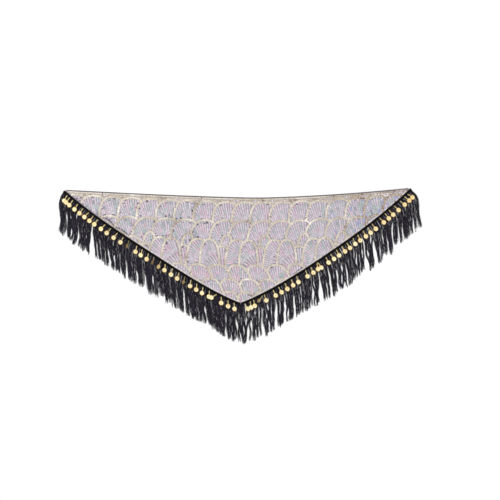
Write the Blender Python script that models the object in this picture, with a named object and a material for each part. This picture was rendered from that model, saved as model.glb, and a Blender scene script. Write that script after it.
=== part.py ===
"""Triangular coin hip scarf, laid flat and face up on a level surface.

A bowed triangle of sequinned net has a narrow rolled hem along its long top
edge. A braid is sewn along each lower edge, a fringe hangs from a narrow
heading strip under each braid, and stamped coins on flat links hang over the
fringe. Units are metres, +Z is up, +Y runs from the lower point towards the
long edge, and the origin is the middle of the outline on the surface.
"""

import math
import random
from itertools import pairwise

import bmesh
import bpy
from mathutils import Matrix, Vector

# Outline of the visible cloth, seen from above
LEFT_CORNER = Vector((-0.6415, 0.2750))
RIGHT_CORNER = Vector((0.6155, 0.2820))
LOWER_POINT = Vector((-0.0020, -0.1330))
POINT_RADIUS = 0.005
TOP_SAG = 0.032
TOP_SAG_LEAN = 0.13
TOP_SAG_POWER = 1.5
BOW = {"left": 0.023, "right": 0.032}
BOW_POWER = {"left": 3.2, "right": 2.5}

# Cloth wall, hem and trim
WALL = 0.0015
SEAM_GAP = 0.0003
CLOTH_UNDER_BRAID = 0.006
BRAID_WIDTH = 0.010
BRAID_THICKNESS = 0.0018
BRAID_PAST_CORNER = 0.002
HEM_WIDTH = 0.0024
HEM_THICKNESS = 0.0022
HEM_FROM_CORNER = 0.003
CLOTH_COLUMNS = 56
CLOTH_ROWS = 14
BRAID_STEP = 0.018
FLAT_BESIDE_SEAM = 0.004
FADE_FROM_SEAM = 0.022

# Soft ripples in the cloth: centre, direction of the crest in degrees, half
# length, half width and height of the air under it
RIPPLES = (
    # x, y, crest, half_length, half_width, height
    (-0.450, 0.158, -34, 0.090, 0.030, 0.0032),
    (-0.545, 0.244, -14, 0.075, 0.024, 0.0030),
    (-0.330, 0.175, -66, 0.085, 0.034, 0.0024),
    (-0.180, 0.205, 78, 0.080, 0.036, 0.0028),
    (-0.130, -0.020, -31, 0.110, 0.032, 0.0026),
    (0.010, 0.070, 6, 0.140, 0.036, 0.0024),
    (0.150, 0.190, 102, 0.080, 0.034, 0.0022),
    (0.205, 0.012, 34, 0.085, 0.030, 0.0030),
    (0.330, 0.165, 62, 0.090, 0.036, 0.0026),
    (0.520, 0.236, 24, 0.080, 0.026, 0.0034),
)

# Fringe: heading strip and strands of three sides
STRANDS_PER_SIDE = 98
STRAND_LENGTH = 0.1405
STRAND_LENGTH_SPREAD = 0.006
HEADING_TOP = WALL
HEADING_LIFT = 0.0004
STRAND_HEIGHT = 0.0020
STRAND_BEND = 0.050
CLUMP_PULL = 0.40
CLUMP_SIZES = (2, 3, 3, 4, 4, 5)
CLUMP_SWAY = 0.0020
FRINGE_SEED = {"left": 11, "right": 29}
# Rings of a strand: share of its length, share of its root width, share of height
STRAND_RINGS = (
    # along, width, height
    (0.09, 0.76, 1.00),
    (0.32, 0.62, 1.00),
    (0.64, 0.47, 0.90),
    (1.00, 0.32, 0.50),
)
# The way the links and the fringe's roots point, from straight down
ROOT_LEAN = (
    # x, degrees towards +X
    (-0.650, -33.0),
    (-0.600, -38.0),
    (-0.450, -43.0),
    (-0.415, -25.0),
    (-0.360, -16.0),
    (-0.200, -12.0),
    (0.000, 4.0),
    (0.125, 28.0),
    (0.175, 17.0),
    (0.340, 32.0),
    (0.420, 24.0),
    (0.500, 38.0),
    (0.620, 54.0),
)
# The way the rest of the fringe hangs, from straight down
FRINGE_LEAN = (
    # x, degrees towards +X
    (-0.650, -1.0),
    (-0.600, -1.5),
    (-0.550, -1.0),
    (-0.500, 1.0),
    (-0.400, 5.0),
    (-0.250, 8.0),
    (-0.100, 5.0),
    (0.000, 2.0),
    (0.250, 5.0),
    (0.350, 8.0),
    (0.550, 7.0),
    (0.630, 11.0),
)

# Coins: stamped discs with a flat link, in runs along each lower edge
COIN_RADIUS = 0.0085
COIN_THICKNESS = 0.0011
COIN_RIM = 0.0017
COIN_DISH = 0.00025
COIN_SIDES = 12
LINK_WIDTH = 0.0030
LINK_NECK = 0.0025
LINK_REACH = 0.0225
LINK_ON_BRAID = 0.0022
COIN_SEED = 5
COIN_ROLL_SPREAD = 5.0
COIN_SWING_SPREAD = 6.0
FUSED_DEPTH = 0.0005
COIN_RUNS = (
    # edge, first station from the corner, count, pitch
    ("left", 0.0215, 1, 0.0),
    ("left", 0.0300, 1, 0.0),
    ("left", 0.0455, 1, 0.0),
    ("left", 0.0690, 5, 0.0222),
    ("left", 0.1860, 5, 0.0285),
    ("left", 0.3360, 6, 0.0252),
    ("left", 0.4920, 7, 0.0260),
    ("left", 0.6580, 1, 0.0),
    ("left", 0.6990, 3, 0.0255),
    ("right", 0.0150, 1, 0.0),
    ("right", 0.0310, 1, 0.0),
    ("right", 0.0530, 1, 0.0),
    ("right", 0.0840, 4, 0.0227),
    ("right", 0.1870, 10, 0.0233),
    ("right", 0.4300, 1, 0.0),
    ("right", 0.4430, 1, 0.0),
    ("right", 0.4640, 2, 0.0245),
    ("right", 0.5260, 5, 0.0243),
    ("right", 0.6600, 2, 0.0240),
    ("right", 0.7050, 1, 0.0),
    ("right", 0.7190, 1, 0.0),
    ("right", 0.7310, 1, 0.0),
)
# Coins that don't lie flat: swing of the link and roll about it, in degrees
TURNED_COINS = (
    # edge, number from the corner, swing, roll
    ("left", 1, 6, 0),
    ("left", 2, -4, 2),
    ("left", 3, 0, 2),
    ("left", 13, 4, 68),
    ("left", 17, 4, 74),
    ("left", 18, -8, 48),
    ("left", 22, -3, 62),
    ("left", 26, 0, 0),
    ("left", 27, -56, 2),
    ("right", 1, 4, 0),
    ("right", 2, 0, -2),
    ("right", 18, 8, 0),
    ("right", 19, -16, 2),
    ("right", 28, -50, 56),
    ("right", 29, 0, 0),
    ("right", 30, 2, 2),
    ("right", 31, 26, 0),
)
# Coins that have slipped over a neighbour, each row one solid
CAUGHT_COINS = (
    # edge, numbers from the corner, the ones on top
    ("left", (1, 2, 3), (2,)),
    ("left", (26, 27), (27,)),
    ("right", (1, 2), (2,)),
    ("right", (18, 19), (19,)),
    ("right", (29, 30, 31), (30,)),
)

BRAID_TOP = WALL + SEAM_GAP + BRAID_THICKNESS
STRAND_TOP = HEADING_LIFT + STRAND_HEIGHT
SEAM_SAMPLES = 1200

FINISHES = (
    # name, colour, roughness, metallic
    ("sequin_net", (0.56, 0.51, 0.57), 0.35, 0.15),
    ("black_hem", (0.030, 0.028, 0.032), 0.75, 0.0),
    ("black_braid", (0.010, 0.010, 0.013), 0.70, 0.0),
    ("black_fringe", (0.014, 0.013, 0.018), 0.55, 0.0),
    ("gold_coin", (0.90, 0.66, 0.24), 0.28, 1.0),
)


def clear_scene():
    for thing in list(bpy.data.objects):
        bpy.data.objects.remove(thing, do_unlink=True)


def make_finishes():
    made = {}
    for name, colour, roughness, metallic in FINISHES:
        finish = bpy.data.materials.new(name)
        finish.use_nodes = True
        shader = finish.node_tree.nodes["Principled BSDF"]
        shader.inputs["Base Color"].default_value = (*colour, 1.0)
        shader.inputs["Roughness"].default_value = roughness
        shader.inputs["Metallic"].default_value = metallic
        made[name] = finish
    return made


def add_object(name, bm, finish):
    bmesh.ops.recalc_face_normals(bm, faces=bm.faces)
    mesh = bpy.data.meshes.new(name)
    bm.to_mesh(mesh)
    bm.free()
    mesh.materials.append(finish)
    made = bpy.data.objects.new(name, mesh)
    bpy.context.scene.collection.objects.link(made)
    return made


def smooth(share):
    share = min(max(share, 0.0), 1.0)
    return share * share * (3 - 2 * share)


def from_table(table, at):
    """Straight-line value of a two-column table at a place."""
    if at <= table[0][0]:
        return table[0][1]
    for (a, low), (b, high) in pairwise(table):
        if at <= b:
            return low + (high - low) * (at - a) / (b - a)
    return table[-1][1]


def top_y(x):
    """The long edge, which sags between the corners."""
    share = (x - LEFT_CORNER.x) / (RIGHT_CORNER.x - LEFT_CORNER.x)
    across = 2 * share - 1
    across -= TOP_SAG_LEAN * (1 - across * across)
    chord = LEFT_CORNER.y + share * (RIGHT_CORNER.y - LEFT_CORNER.y)
    return chord - TOP_SAG * (1 - abs(across) ** TOP_SAG_POWER)


def seam_y(x):
    """The two lower edges: bowed outwards and rounded where they meet."""
    side, corner = ("left", LEFT_CORNER) if x < LOWER_POINT.x else ("right", RIGHT_CORNER)
    span = abs(corner.x - LOWER_POINT.x)
    away = math.hypot(x - LOWER_POINT.x, POINT_RADIUS) - POINT_RADIUS
    share = 1 - away / (math.hypot(span, POINT_RADIUS) - POINT_RADIUS)
    bow = BOW[side] * (1 - abs(2 * share - 1) ** BOW_POWER[side])
    return corner.y + share * (LOWER_POINT.y - corner.y) - bow


def seam_line(side):
    """Points from a top corner down to the lower point, and their stations."""
    corner = LEFT_CORNER if side == "left" else RIGHT_CORNER
    points = []
    for k in range(SEAM_SAMPLES + 1):
        x = corner.x + (LOWER_POINT.x - corner.x) * k / SEAM_SAMPLES
        points.append(Vector((x, seam_y(x))))
    stations = [0.0]
    for a, b in pairwise(points):
        stations.append(stations[-1] + (b - a).length)
    return points, stations


SEAMS = {side: seam_line(side) for side in BOW}


def seam_at(side, station):
    """Point on the seam and the outward direction there. Past the corner it runs on straight."""
    points, stations = SEAMS[side]
    inside = min(max(station, 0.0), stations[-1])
    k = min(int(inside / stations[-1] * SEAM_SAMPLES), SEAM_SAMPLES - 1)
    while k > 0 and stations[k] > inside:
        k -= 1
    while k < SEAM_SAMPLES - 1 and stations[k + 1] < inside:
        k += 1
    step = points[k + 1] - points[k]
    along = step.normalized()
    point = points[k] + along * (inside - stations[k]) + along * (station - inside)
    outward = Vector((along.y, -along.x)) if side == "left" else Vector((-along.y, along.x))
    if inside == stations[-1]:
        outward = Vector((0.0, -1.0))
    return point, outward


def seam_length(side):
    return SEAMS[side][1][-1]


def off_seam(side, station, outwards):
    point, outward = seam_at(side, station)
    return point + outward * outwards


def ripple_height(x, y):
    """Air under the cloth, which is nothing wherever it lies flat."""
    height = 0.0
    for centre_x, centre_y, crest, half_length, half_width, high in RIPPLES:
        turn = math.radians(crest)
        dx, dy = x - centre_x, y - centre_y
        along = abs(dx * math.cos(turn) + dy * math.sin(turn)) / half_length
        across = abs(dy * math.cos(turn) - dx * math.sin(turn)) / half_width
        if along < 1 and across < 1:
            height += high * (math.cos(along * math.pi / 2) * math.cos(across * math.pi / 2)) ** 2
    inside_seam = (y - seam_y(x)) * math.cos(math.radians(33)) - FLAT_BESIDE_SEAM
    return height * smooth(inside_seam / FADE_FROM_SEAM)


def sheet_grid(rows):
    """A surface of quads through equal rows of points."""
    bm = bmesh.new()
    grid = [[bm.verts.new(point) for point in row] for row in rows]
    for upper, lower in pairwise(grid):
        for k in range(len(upper) - 1):
            bm.faces.new((upper[k], lower[k], lower[k + 1], upper[k + 1]))
    return bm


def thicken(bm, thickness):
    """Raises a copy of the whole surface and closes the sides, as an extrusion."""
    lifted = bmesh.ops.extrude_face_region(bm, geom=list(bm.faces), use_keep_orig=True)["geom"]
    for part in lifted:
        if isinstance(part, bmesh.types.BMVert):
            part.co.z += thickness


def cloth_columns():
    """For each column its top point and its point on the cut edge, which lies under the braid."""
    columns = []
    for side in BOW:
        half = CLOTH_COLUMNS // 2
        for k in range(half + (side == "left")):
            share = k / half
            station = HEM_FROM_CORNER + (seam_length(side) - HEM_FROM_CORNER) * share
            seam = seam_at(side, station)[0]
            cut = off_seam(side, station, CLOTH_UNDER_BRAID)
            columns.append((Vector((seam.x, top_y(seam.x))), cut))
    return sorted(columns, key=lambda column: column[0].x)


def make_cloth(finish):
    """The last row of faces is a narrow one, so that the cloth lies flat under the braid."""
    rows = []
    for k in range(CLOTH_ROWS + 1):
        row = []
        for top, cut in cloth_columns():
            flat = min(0.4, (CLOTH_UNDER_BRAID + FLAT_BESIDE_SEAM) * 1.2 / (cut - top).length)
            share = 1.0 if k == CLOTH_ROWS else (1 - flat) * k / (CLOTH_ROWS - 1)
            point = top.lerp(cut, share)
            row.append((point.x, point.y, ripple_height(point.x, point.y)))
        rows.append(row)
    bm = sheet_grid(rows)
    thicken(bm, WALL)
    return add_object("cloth", bm, finish)


def make_hem(finish):
    """The narrow rolled hem lies against the cloth's long edge and follows its ripples."""
    inner, outer = [], []
    for top, _ in cloth_columns():
        z = ripple_height(top.x, top.y)
        inner.append((top.x, top.y + SEAM_GAP, z))
        outer.append((top.x, top.y + SEAM_GAP + HEM_WIDTH, z))
    bm = sheet_grid((outer, inner))
    thicken(bm, HEM_THICKNESS)
    return add_object("top_hem", bm, finish)


def make_braid(side, finish):
    """A flat braid over the cloth's lower edge and the heading of the fringe."""
    end = seam_length(side) - SEAM_GAP / 2
    count = math.ceil((end + BRAID_PAST_CORNER) / BRAID_STEP)
    stations = [-BRAID_PAST_CORNER + (end + BRAID_PAST_CORNER) * k / count for k in range(count + 1)]
    rows = []
    for share in (0.0, 0.5, 1.0):
        points = (off_seam(side, station, BRAID_WIDTH * share) for station in stations)
        rows.append([(point.x, point.y, WALL + SEAM_GAP) for point in points])
    bm = sheet_grid(rows)
    thicken(bm, BRAID_THICKNESS)
    return add_object(f"braid_{side}", bm, finish)


def clumps(side):
    """Strand numbers gathered into clumps, each with its own sway, lean and length."""
    chance = random.Random(FRINGE_SEED[side])
    groups, first = [], 0
    while first < STRANDS_PER_SIDE:
        size = min(chance.choice(CLUMP_SIZES), STRANDS_PER_SIDE - first)
        sway = chance.uniform(-CLUMP_SWAY, CLUMP_SWAY)
        spread = chance.uniform(-STRAND_LENGTH_SPREAD, STRAND_LENGTH_SPREAD)
        groups.append((range(first, first + size), sway, spread))
        first += size
    return groups


def strand_path(side, station, pull, sway, length):
    """Ring centres of a strand, with the direction that it runs in at each."""
    root, outward = seam_at(side, station)
    root = root + outward * BRAID_WIDTH
    start = math.radians(from_table(ROOT_LEAN, root.x)) - math.pi / 2
    hang = math.radians(from_table(FRINGE_LEAN, root.x)) - math.pi / 2
    point, walked, rings = root.copy(), 0.0, []
    for along, _, _ in STRAND_RINGS:
        steps = 12
        stride = (along * length - walked) / steps
        for _ in range(steps):
            heading = start + (hang - start) * smooth((walked + stride / 2) / STRAND_BEND)
            point += Vector((math.cos(heading), math.sin(heading))) * stride
            walked += stride
        heading = start + (hang - start) * smooth(walked / STRAND_BEND)
        shift = (pull + sway * math.sin(along * math.pi * 0.8)) * smooth(along)
        rings.append((point + Vector((shift, 0.0)), heading))
    return rings


def make_fringe(side, finish):
    """A heading strip whose outer wall carries a row of strands, root beside root."""
    end = seam_length(side) - SEAM_GAP / 2
    cell = end / STRANDS_PER_SIDE
    inner = CLOTH_UNDER_BRAID + SEAM_GAP
    turned = 1 if side == "left" else -1
    bm = bmesh.new()

    def station_ring(station):
        near, far = off_seam(side, station, inner), off_seam(side, station, BRAID_WIDTH)
        return [
            bm.verts.new((near.x, near.y, HEADING_LIFT)),
            bm.verts.new((near.x, near.y, HEADING_TOP)),
            bm.verts.new((far.x, far.y, HEADING_TOP)),
            bm.verts.new((far.x, far.y, HEADING_LIFT)),
        ]

    stations = [station_ring(cell * k) for k in range(STRANDS_PER_SIDE + 1)]
    bm.faces.new(stations[0])
    bm.faces.new(stations[-1])
    roots = []
    for a, b in pairwise(stations):
        middle = bm.verts.new((a[2].co + b[2].co) / 2)
        bm.faces.new((a[0], a[1], b[1], b[0]))
        bm.faces.new((a[1], a[2], middle, b[2], b[1]))
        bm.faces.new((a[3], b[3], b[0], a[0]))
        bm.faces.new((a[2], a[3], middle))
        bm.faces.new((b[2], middle, b[3]))
        roots.append(bm.faces.new((a[3], b[3], middle)))

    chance = random.Random(FRINGE_SEED[side] + 1)
    for group, sway, spread in clumps(side):
        middle_station = cell * (group[0] + group[-1] + 1) / 2
        middle_x = off_seam(side, middle_station, BRAID_WIDTH).x
        for number in group:
            station = cell * (number + 0.5)
            own_x = off_seam(side, station, BRAID_WIDTH).x
            length = STRAND_LENGTH + spread + chance.uniform(-0.3, 0.3) * STRAND_LENGTH_SPREAD
            face = roots[number]
            path = strand_path(side, station, (middle_x - own_x) * CLUMP_PULL, sway, length)
            for (centre, heading), (_, width, height) in zip(path, STRAND_RINGS, strict=True):
                face = bmesh.ops.extrude_discrete_faces(bm, faces=[face])["faces"][0]
                half = width * cell / 2 * turned
                across = Vector((-math.sin(heading), math.cos(heading))) * half
                first, second, peak = face.verts
                first.co = (*(centre - across), HEADING_LIFT)
                second.co = (*(centre + across), HEADING_LIFT)
                peak.co = (*centre, HEADING_LIFT + STRAND_HEIGHT * height)
    return add_object(f"fringe_{side}", bm, finish)


def coin_stations(side):
    chance = random.Random(COIN_SEED)
    found = []
    for edge, first, count, pitch in COIN_RUNS:
        for k in range(count):
            nudge = chance.uniform(-0.0015, 0.0015) if count > 2 else 0.0
            if edge == side:
                found.append(first + k * pitch + nudge)
    return sorted(found)


def coin_mesh():
    """A dished disc lying on z = 0 with its flat link drawn out of the rim along +Y."""
    bm = bmesh.new()
    centre = Matrix.Translation((0, 0, COIN_THICKNESS / 2))
    bmesh.ops.create_cone(
        bm,
        cap_ends=True,
        segments=COIN_SIDES,
        radius1=COIN_RADIUS,
        radius2=COIN_RADIUS,
        depth=COIN_THICKNESS,
        matrix=centre @ Matrix.Rotation(math.pi / COIN_SIDES, 4, "Z"),
    )
    top = max(bm.faces, key=lambda face: face.calc_center_median().z)
    bmesh.ops.inset_region(bm, faces=[top], thickness=COIN_RIM, depth=-COIN_DISH)
    face = max(bm.faces, key=lambda side: side.calc_center_median().y)
    for reach in (COIN_RADIUS + LINK_NECK, LINK_REACH):
        face = bmesh.ops.extrude_discrete_faces(bm, faces=[face])["faces"][0]
        for corner in face.verts:
            corner.co.y = reach
            corner.co.x = math.copysign(LINK_WIDTH / 2, corner.co.x)
    return bm


def settle(bm, roll, floor, onto_braid):
    """Rolls a coin about its link, then lays the disc over the fringe and the link over the braid.

    The disc comes down to the height floor. The link passes the braid's border
    at the distance onto_braid from the middle of the coin.
    """
    bmesh.ops.rotate(bm, matrix=Matrix.Rotation(roll, 3, "Y"), verts=bm.verts)
    disc = [corner.co.copy() for corner in bm.verts if corner.co.y < COIN_RADIUS]
    under_link = min(corner.co.z for corner in bm.verts if corner.co.y > LINK_REACH - COIN_RIM)
    braid = BRAID_TOP + SEAM_GAP
    dip, height = 0.0, 0.0
    for _ in range(8):
        height = max(floor + SEAM_GAP - p.y * math.sin(dip) - p.z * math.cos(dip) for p in disc)
        rise = braid - height - under_link * math.cos(dip)
        dip = math.asin(rise / (onto_braid if rise > 0 else LINK_REACH))
    bmesh.ops.rotate(bm, matrix=Matrix.Rotation(dip, 3, "X"), verts=bm.verts)
    bmesh.ops.translate(bm, vec=(0.0, 0.0, height), verts=bm.verts)


def make_coin(name, side, station, swing, roll, stacked, finish):
    seam, outward = seam_at(side, station)
    heading = math.radians(from_table(ROOT_LEAN, seam.x)) + swing
    slant = heading - math.atan2(outward.x, -outward.y)
    centre = seam + outward * (BRAID_WIDTH - LINK_ON_BRAID + LINK_REACH * math.cos(slant))
    on_braid = (LINK_ON_BRAID + LINK_WIDTH / 2 * abs(math.sin(slant))) / math.cos(slant)
    bm = coin_mesh()
    floor = STRAND_TOP + (COIN_THICKNESS - FUSED_DEPTH if stacked else 0.0)
    settle(bm, roll, floor, LINK_REACH - on_braid)
    place = Matrix.Translation((centre.x, centre.y, 0.0)) @ Matrix.Rotation(heading, 4, "Z")
    bmesh.ops.transform(bm, matrix=place, verts=bm.verts)
    return add_object(name, bm, finish)


def make_coins(side, finish):
    """Every coin of one edge. Coins that lie on each other are joined into one solid."""
    chance = random.Random(COIN_SEED + len(side))
    turned = {row[1]: row[2:] for row in TURNED_COINS if row[0] == side}
    stacked = {n for row in CAUGHT_COINS if row[0] == side for n in row[2]}
    coins = {}
    for number, station in enumerate(coin_stations(side), start=1):
        swing = chance.uniform(-COIN_SWING_SPREAD, COIN_SWING_SPREAD)
        roll = chance.uniform(-COIN_ROLL_SPREAD, COIN_ROLL_SPREAD)
        if number in turned:
            swing, roll = turned[number]
        coins[number] = make_coin(
            f"coin_{side}_{number:02d}",
            side,
            station,
            math.radians(swing),
            math.radians(roll),
            number in stacked,
            finish,
        )
    for edge, numbers, _ in CAUGHT_COINS:
        if edge != side:
            continue
        first = coins[numbers[0]]
        for number in numbers[1:]:
            union = first.modifiers.new("caught", "BOOLEAN")
            union.operation = "UNION"
            union.object = coins[number]
            coins[number].hide_render = True
            coins[number].display_type = "WIRE"


def centre_on_origin():
    """Moves the whole part a little, so that the middle of its outline is the origin."""
    meshes = [thing.data for thing in bpy.data.objects]
    for axis in (0, 1):
        reach = [corner.co[axis] for mesh in meshes for corner in mesh.vertices]
        shift = Vector()
        shift[axis] = -(min(reach) + max(reach)) / 2
        for mesh in meshes:
            mesh.transform(Matrix.Translation(shift))


def main():
    clear_scene()
    finishes = make_finishes()
    make_cloth(finishes["sequin_net"])
    make_hem(finishes["black_hem"])
    for side in BOW:
        make_braid(side, finishes["black_braid"])
        make_fringe(side, finishes["black_fringe"])
        make_coins(side, finishes["gold_coin"])
    centre_on_origin()


main()
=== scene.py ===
import math
import random
from itertools import pairwise

import bmesh
import bpy
import numpy as np
from mathutils import Matrix, Vector, noise
from mathutils.kdtree import KDTree


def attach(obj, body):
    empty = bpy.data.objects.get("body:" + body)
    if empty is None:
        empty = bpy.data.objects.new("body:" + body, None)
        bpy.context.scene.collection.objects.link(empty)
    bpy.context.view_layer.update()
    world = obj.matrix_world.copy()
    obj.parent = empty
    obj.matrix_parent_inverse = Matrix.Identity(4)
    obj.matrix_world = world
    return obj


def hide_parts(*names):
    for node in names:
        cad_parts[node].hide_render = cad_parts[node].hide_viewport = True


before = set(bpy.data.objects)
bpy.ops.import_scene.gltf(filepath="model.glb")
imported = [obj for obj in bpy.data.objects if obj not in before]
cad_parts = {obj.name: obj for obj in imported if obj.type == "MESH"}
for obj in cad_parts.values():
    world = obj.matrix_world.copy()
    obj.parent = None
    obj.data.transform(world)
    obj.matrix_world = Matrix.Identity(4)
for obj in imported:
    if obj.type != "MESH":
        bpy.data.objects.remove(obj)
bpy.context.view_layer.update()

# The solids' outline and trims, in the maker's frame. CENTRING takes a finished
# piece from there to the frame of the part, whose origin is the outline's middle.
CENTRING = Vector((0.001052, 0.000524, 0.0))
LEFT_CORNER = Vector((-0.6415, 0.2750))
RIGHT_CORNER = Vector((0.6155, 0.2820))
LOWER_POINT = Vector((-0.0020, -0.1330))
POINT_RADIUS = 0.005
TOP_SAG = 0.032
TOP_SAG_LEAN = 0.13
TOP_SAG_POWER = 1.5
BOW = {"left": 0.023, "right": 0.032}
BOW_POWER = {"left": 3.2, "right": 2.5}
WALL = 0.0015
SEAM_GAP = 0.0003
CLOTH_UNDER_BRAID = 0.006
BRAID_WIDTH = 0.010
BRAID_THICKNESS = 0.0018
BRAID_PAST_CORNER = 0.002
BRAID_TOP = WALL + SEAM_GAP + BRAID_THICKNESS
PLAIT_STEP = 0.003
PLAIT_LIFT = 0.0001
TAPE_ROWS = (0.04, 0.5, 0.96)
TAPE_SHARE = 0.45
HEM_WIDTH = 0.0024
HEM_THICKNESS = 0.0022
HEM_FROM_CORNER = 0.003
FLAT_BESIDE_SEAM = 0.004
FADE_FROM_SEAM = 0.022
SEAM_SAMPLES = 1200
SEAM_SLOPE = math.cos(math.radians(33))

# Soft ripples with air under them, as in the solids
RIPPLES = (
    # x, y, crest, half_length, half_width, height
    (-0.450, 0.158, -34, 0.090, 0.030, 0.0032),
    (-0.545, 0.244, -14, 0.075, 0.024, 0.0030),
    (-0.330, 0.175, -66, 0.085, 0.034, 0.0024),
    (-0.180, 0.205, 78, 0.080, 0.036, 0.0028),
    (-0.130, -0.020, -31, 0.110, 0.032, 0.0026),
    (0.010, 0.070, 6, 0.140, 0.036, 0.0024),
    (0.150, 0.190, 102, 0.080, 0.034, 0.0022),
    (0.205, 0.012, 34, 0.085, 0.030, 0.0030),
    (0.330, 0.165, 62, 0.090, 0.036, 0.0026),
    (0.520, 0.236, 24, 0.080, 0.026, 0.0034),
)

# Narrow creases on top of the ripples: puckers along the seams, crinkled corners
# and faint drag lines in the middle
CREASES = (
    # x, y, crest, half_length, half_width, height
    (-0.464, 0.153, -35, 0.055, 0.0060, 0.0016),
    (-0.448, 0.156, -32, 0.050, 0.0050, 0.0012),
    (-0.415, 0.124, -34, 0.040, 0.0050, 0.0012),
    (-0.560, 0.223, -30, 0.035, 0.0060, 0.0014),
    (-0.590, 0.248, -18, 0.030, 0.0050, 0.0013),
    (-0.575, 0.256, 62, 0.016, 0.0050, 0.0011),
    (-0.605, 0.259, 40, 0.014, 0.0040, 0.0010),
    (-0.305, 0.200, -70, 0.050, 0.0090, 0.0009),
    (-0.205, 0.016, -30, 0.030, 0.0100, 0.0014),
    (-0.135, 0.046, -58, 0.040, 0.0080, 0.0009),
    (-0.060, -0.070, -34, 0.040, 0.0060, 0.0011),
    (0.015, -0.090, 74, 0.030, 0.0070, 0.0009),
    (0.070, 0.130, 12, 0.060, 0.0090, 0.0008),
    (0.115, 0.030, 60, 0.045, 0.0080, 0.0009),
    (0.215, -0.008, 36, 0.040, 0.0060, 0.0014),
    (0.235, 0.017, 32, 0.030, 0.0050, 0.0012),
    (0.360, 0.104, 35, 0.040, 0.0060, 0.0012),
    (0.410, 0.200, 66, 0.045, 0.0080, 0.0009),
    (0.535, 0.242, 40, 0.030, 0.0060, 0.0014),
    (0.560, 0.256, 8, 0.030, 0.0050, 0.0012),
    (0.580, 0.265, 100, 0.014, 0.0045, 0.0010),
)
CREASE_FROM_SEAM = 0.001
CREASE_FADE = 0.008

# Puckered folds beside the braid. The net is bare between them and the braid. A row of dark sequins along
# each fold is painted fold shadow.
FOLDS = (
    # first x, last x, how far inside the seam
    (-0.508, -0.461, 0.0135),
    (-0.458, -0.404, 0.0110),
    (0.186, 0.238, 0.0065),
)
FOLD_BLUNTNESS = 0.4
# Tint and share of dark sequins in the rows along the folds: painted fold shadow
FOLD_SHADOW_TINT = 0.06
FOLD_SHADOW_SPECKS = 0.45

# Fish-scale fans, row by row. A later fan lies over an earlier one.
FAN_ROWS = (
    # first x, pitch, count, top under hem, half width, height, lean, over, focus x, focus down
    (-0.656, 0.0690, 19, 0.0155, 0.050, 0.074, 0.00, 1, 0.45, 1.30),
    (-0.540, 0.0702, 15, 0.0840, 0.051, 0.076, 0.10, 1, 0.55, 1.10),
    (-0.498, 0.1401, 8, 0.1360, 0.021, 0.060, 0.10, 1, 0.60, 0.80),
    (-0.381, 0.1401, 6, 0.1790, 0.028, 0.066, 0.05, 1, 0.60, 1.40),
    (-0.479, 0.1401, 7, 0.1530, 0.037, 0.100, 0.05, 1, 1.90, 0.05),
    (-0.429, 0.1401, 7, 0.1540, 0.035, 0.100, 0.00, 1, 1.50, 0.30),
    (-0.325, 0.0715, 9, 0.2450, 0.040, 0.062, -0.30, -1, 0.10, 1.30),
    (-0.208, 0.0690, 6, 0.2960, 0.038, 0.056, -0.25, -1, 0.20, 1.20),
    (-0.130, 0.0600, 5, 0.3420, 0.033, 0.052, -0.15, -1, 0.30, 1.30),
)
FAN_SQUARENESS = 2.6
FAN_SKIRT = 0.8
FAN_CHANCE = 0.0016
FAN_DROP_CHANCE = 0.6
FAN_SIZES = (0.97, 1.03)
FAN_SEED = 17
FIRST_ROW_DROP = 0.02
FIRST_ROW_SLOPE = 0.0035
MAP_CELL = 0.0020

# Ribs run out from a fan's focus. Every second one starts nearer to it.
RIB_PITCH = 0.0084
RIB_PITCH_AT = 0.88
RIB_HALF_TURN = 1.5
RIB_CLOSEST = 0.0060
RIB_STARTS = (0.55, 1.0)
RIB_FIRST = 0.012
RIB_FROM_OUTLINE = 0.0060
LINE_STEP = 0.0015
ROW_STEP = 0.002

# Clear strips along the hem and the seam, for ribs and for outlines
RIBS_FROM_HEM = 0.010
OUTLINES_FROM_HEM = 0.009
FROM_SEAM = 0.004
SEQUIN_SEAM_SLOPE = 0.84
RIBS_FROM_FOLD = 0.0025
SHORTEST_OUTLINE = 5

# Sequins, all sizes across
NET_THICKNESS = 0.0006
RIB_SEQUIN = {"Pitch": 0.0033, "Width": 0.0058, "Seed": 1}
OUTLINE_SEQUIN = {"Pitch": 0.0032, "Width": 0.0056, "Seed": 40, "Tint Spread": 0.16}
WEDGE_SEQUIN = {"Pitch": 0.0032, "Width": 0.0056, "Seed": 60, "Tint Spread": 0.30}
RIB_LIFT = 0.0005
OUTLINE_LIFT = 0.0009
OUTLINE_ROWS = (-0.0012, 0.0012)
BAND_DROP = 0.0042
BAND_PITCH = 0.0064
BAND_FROM_CORNER = 0.006
BAND_INTO_FANS = 0.004
EDGE_ROW_FROM = {"left": 0.300, "right": 0.016}
EDGE_ROW_FROM_POINT = 0.004
EDGE_ROW_INSIDE = 0.0026
# The edge rows' near-white tint is partly painted highlight beside the braid
EDGE_ROW_PALE_AND_HIGHLIGHT_TINT = 0.95
SECOND_FOLD_ROW = 0.3

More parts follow.
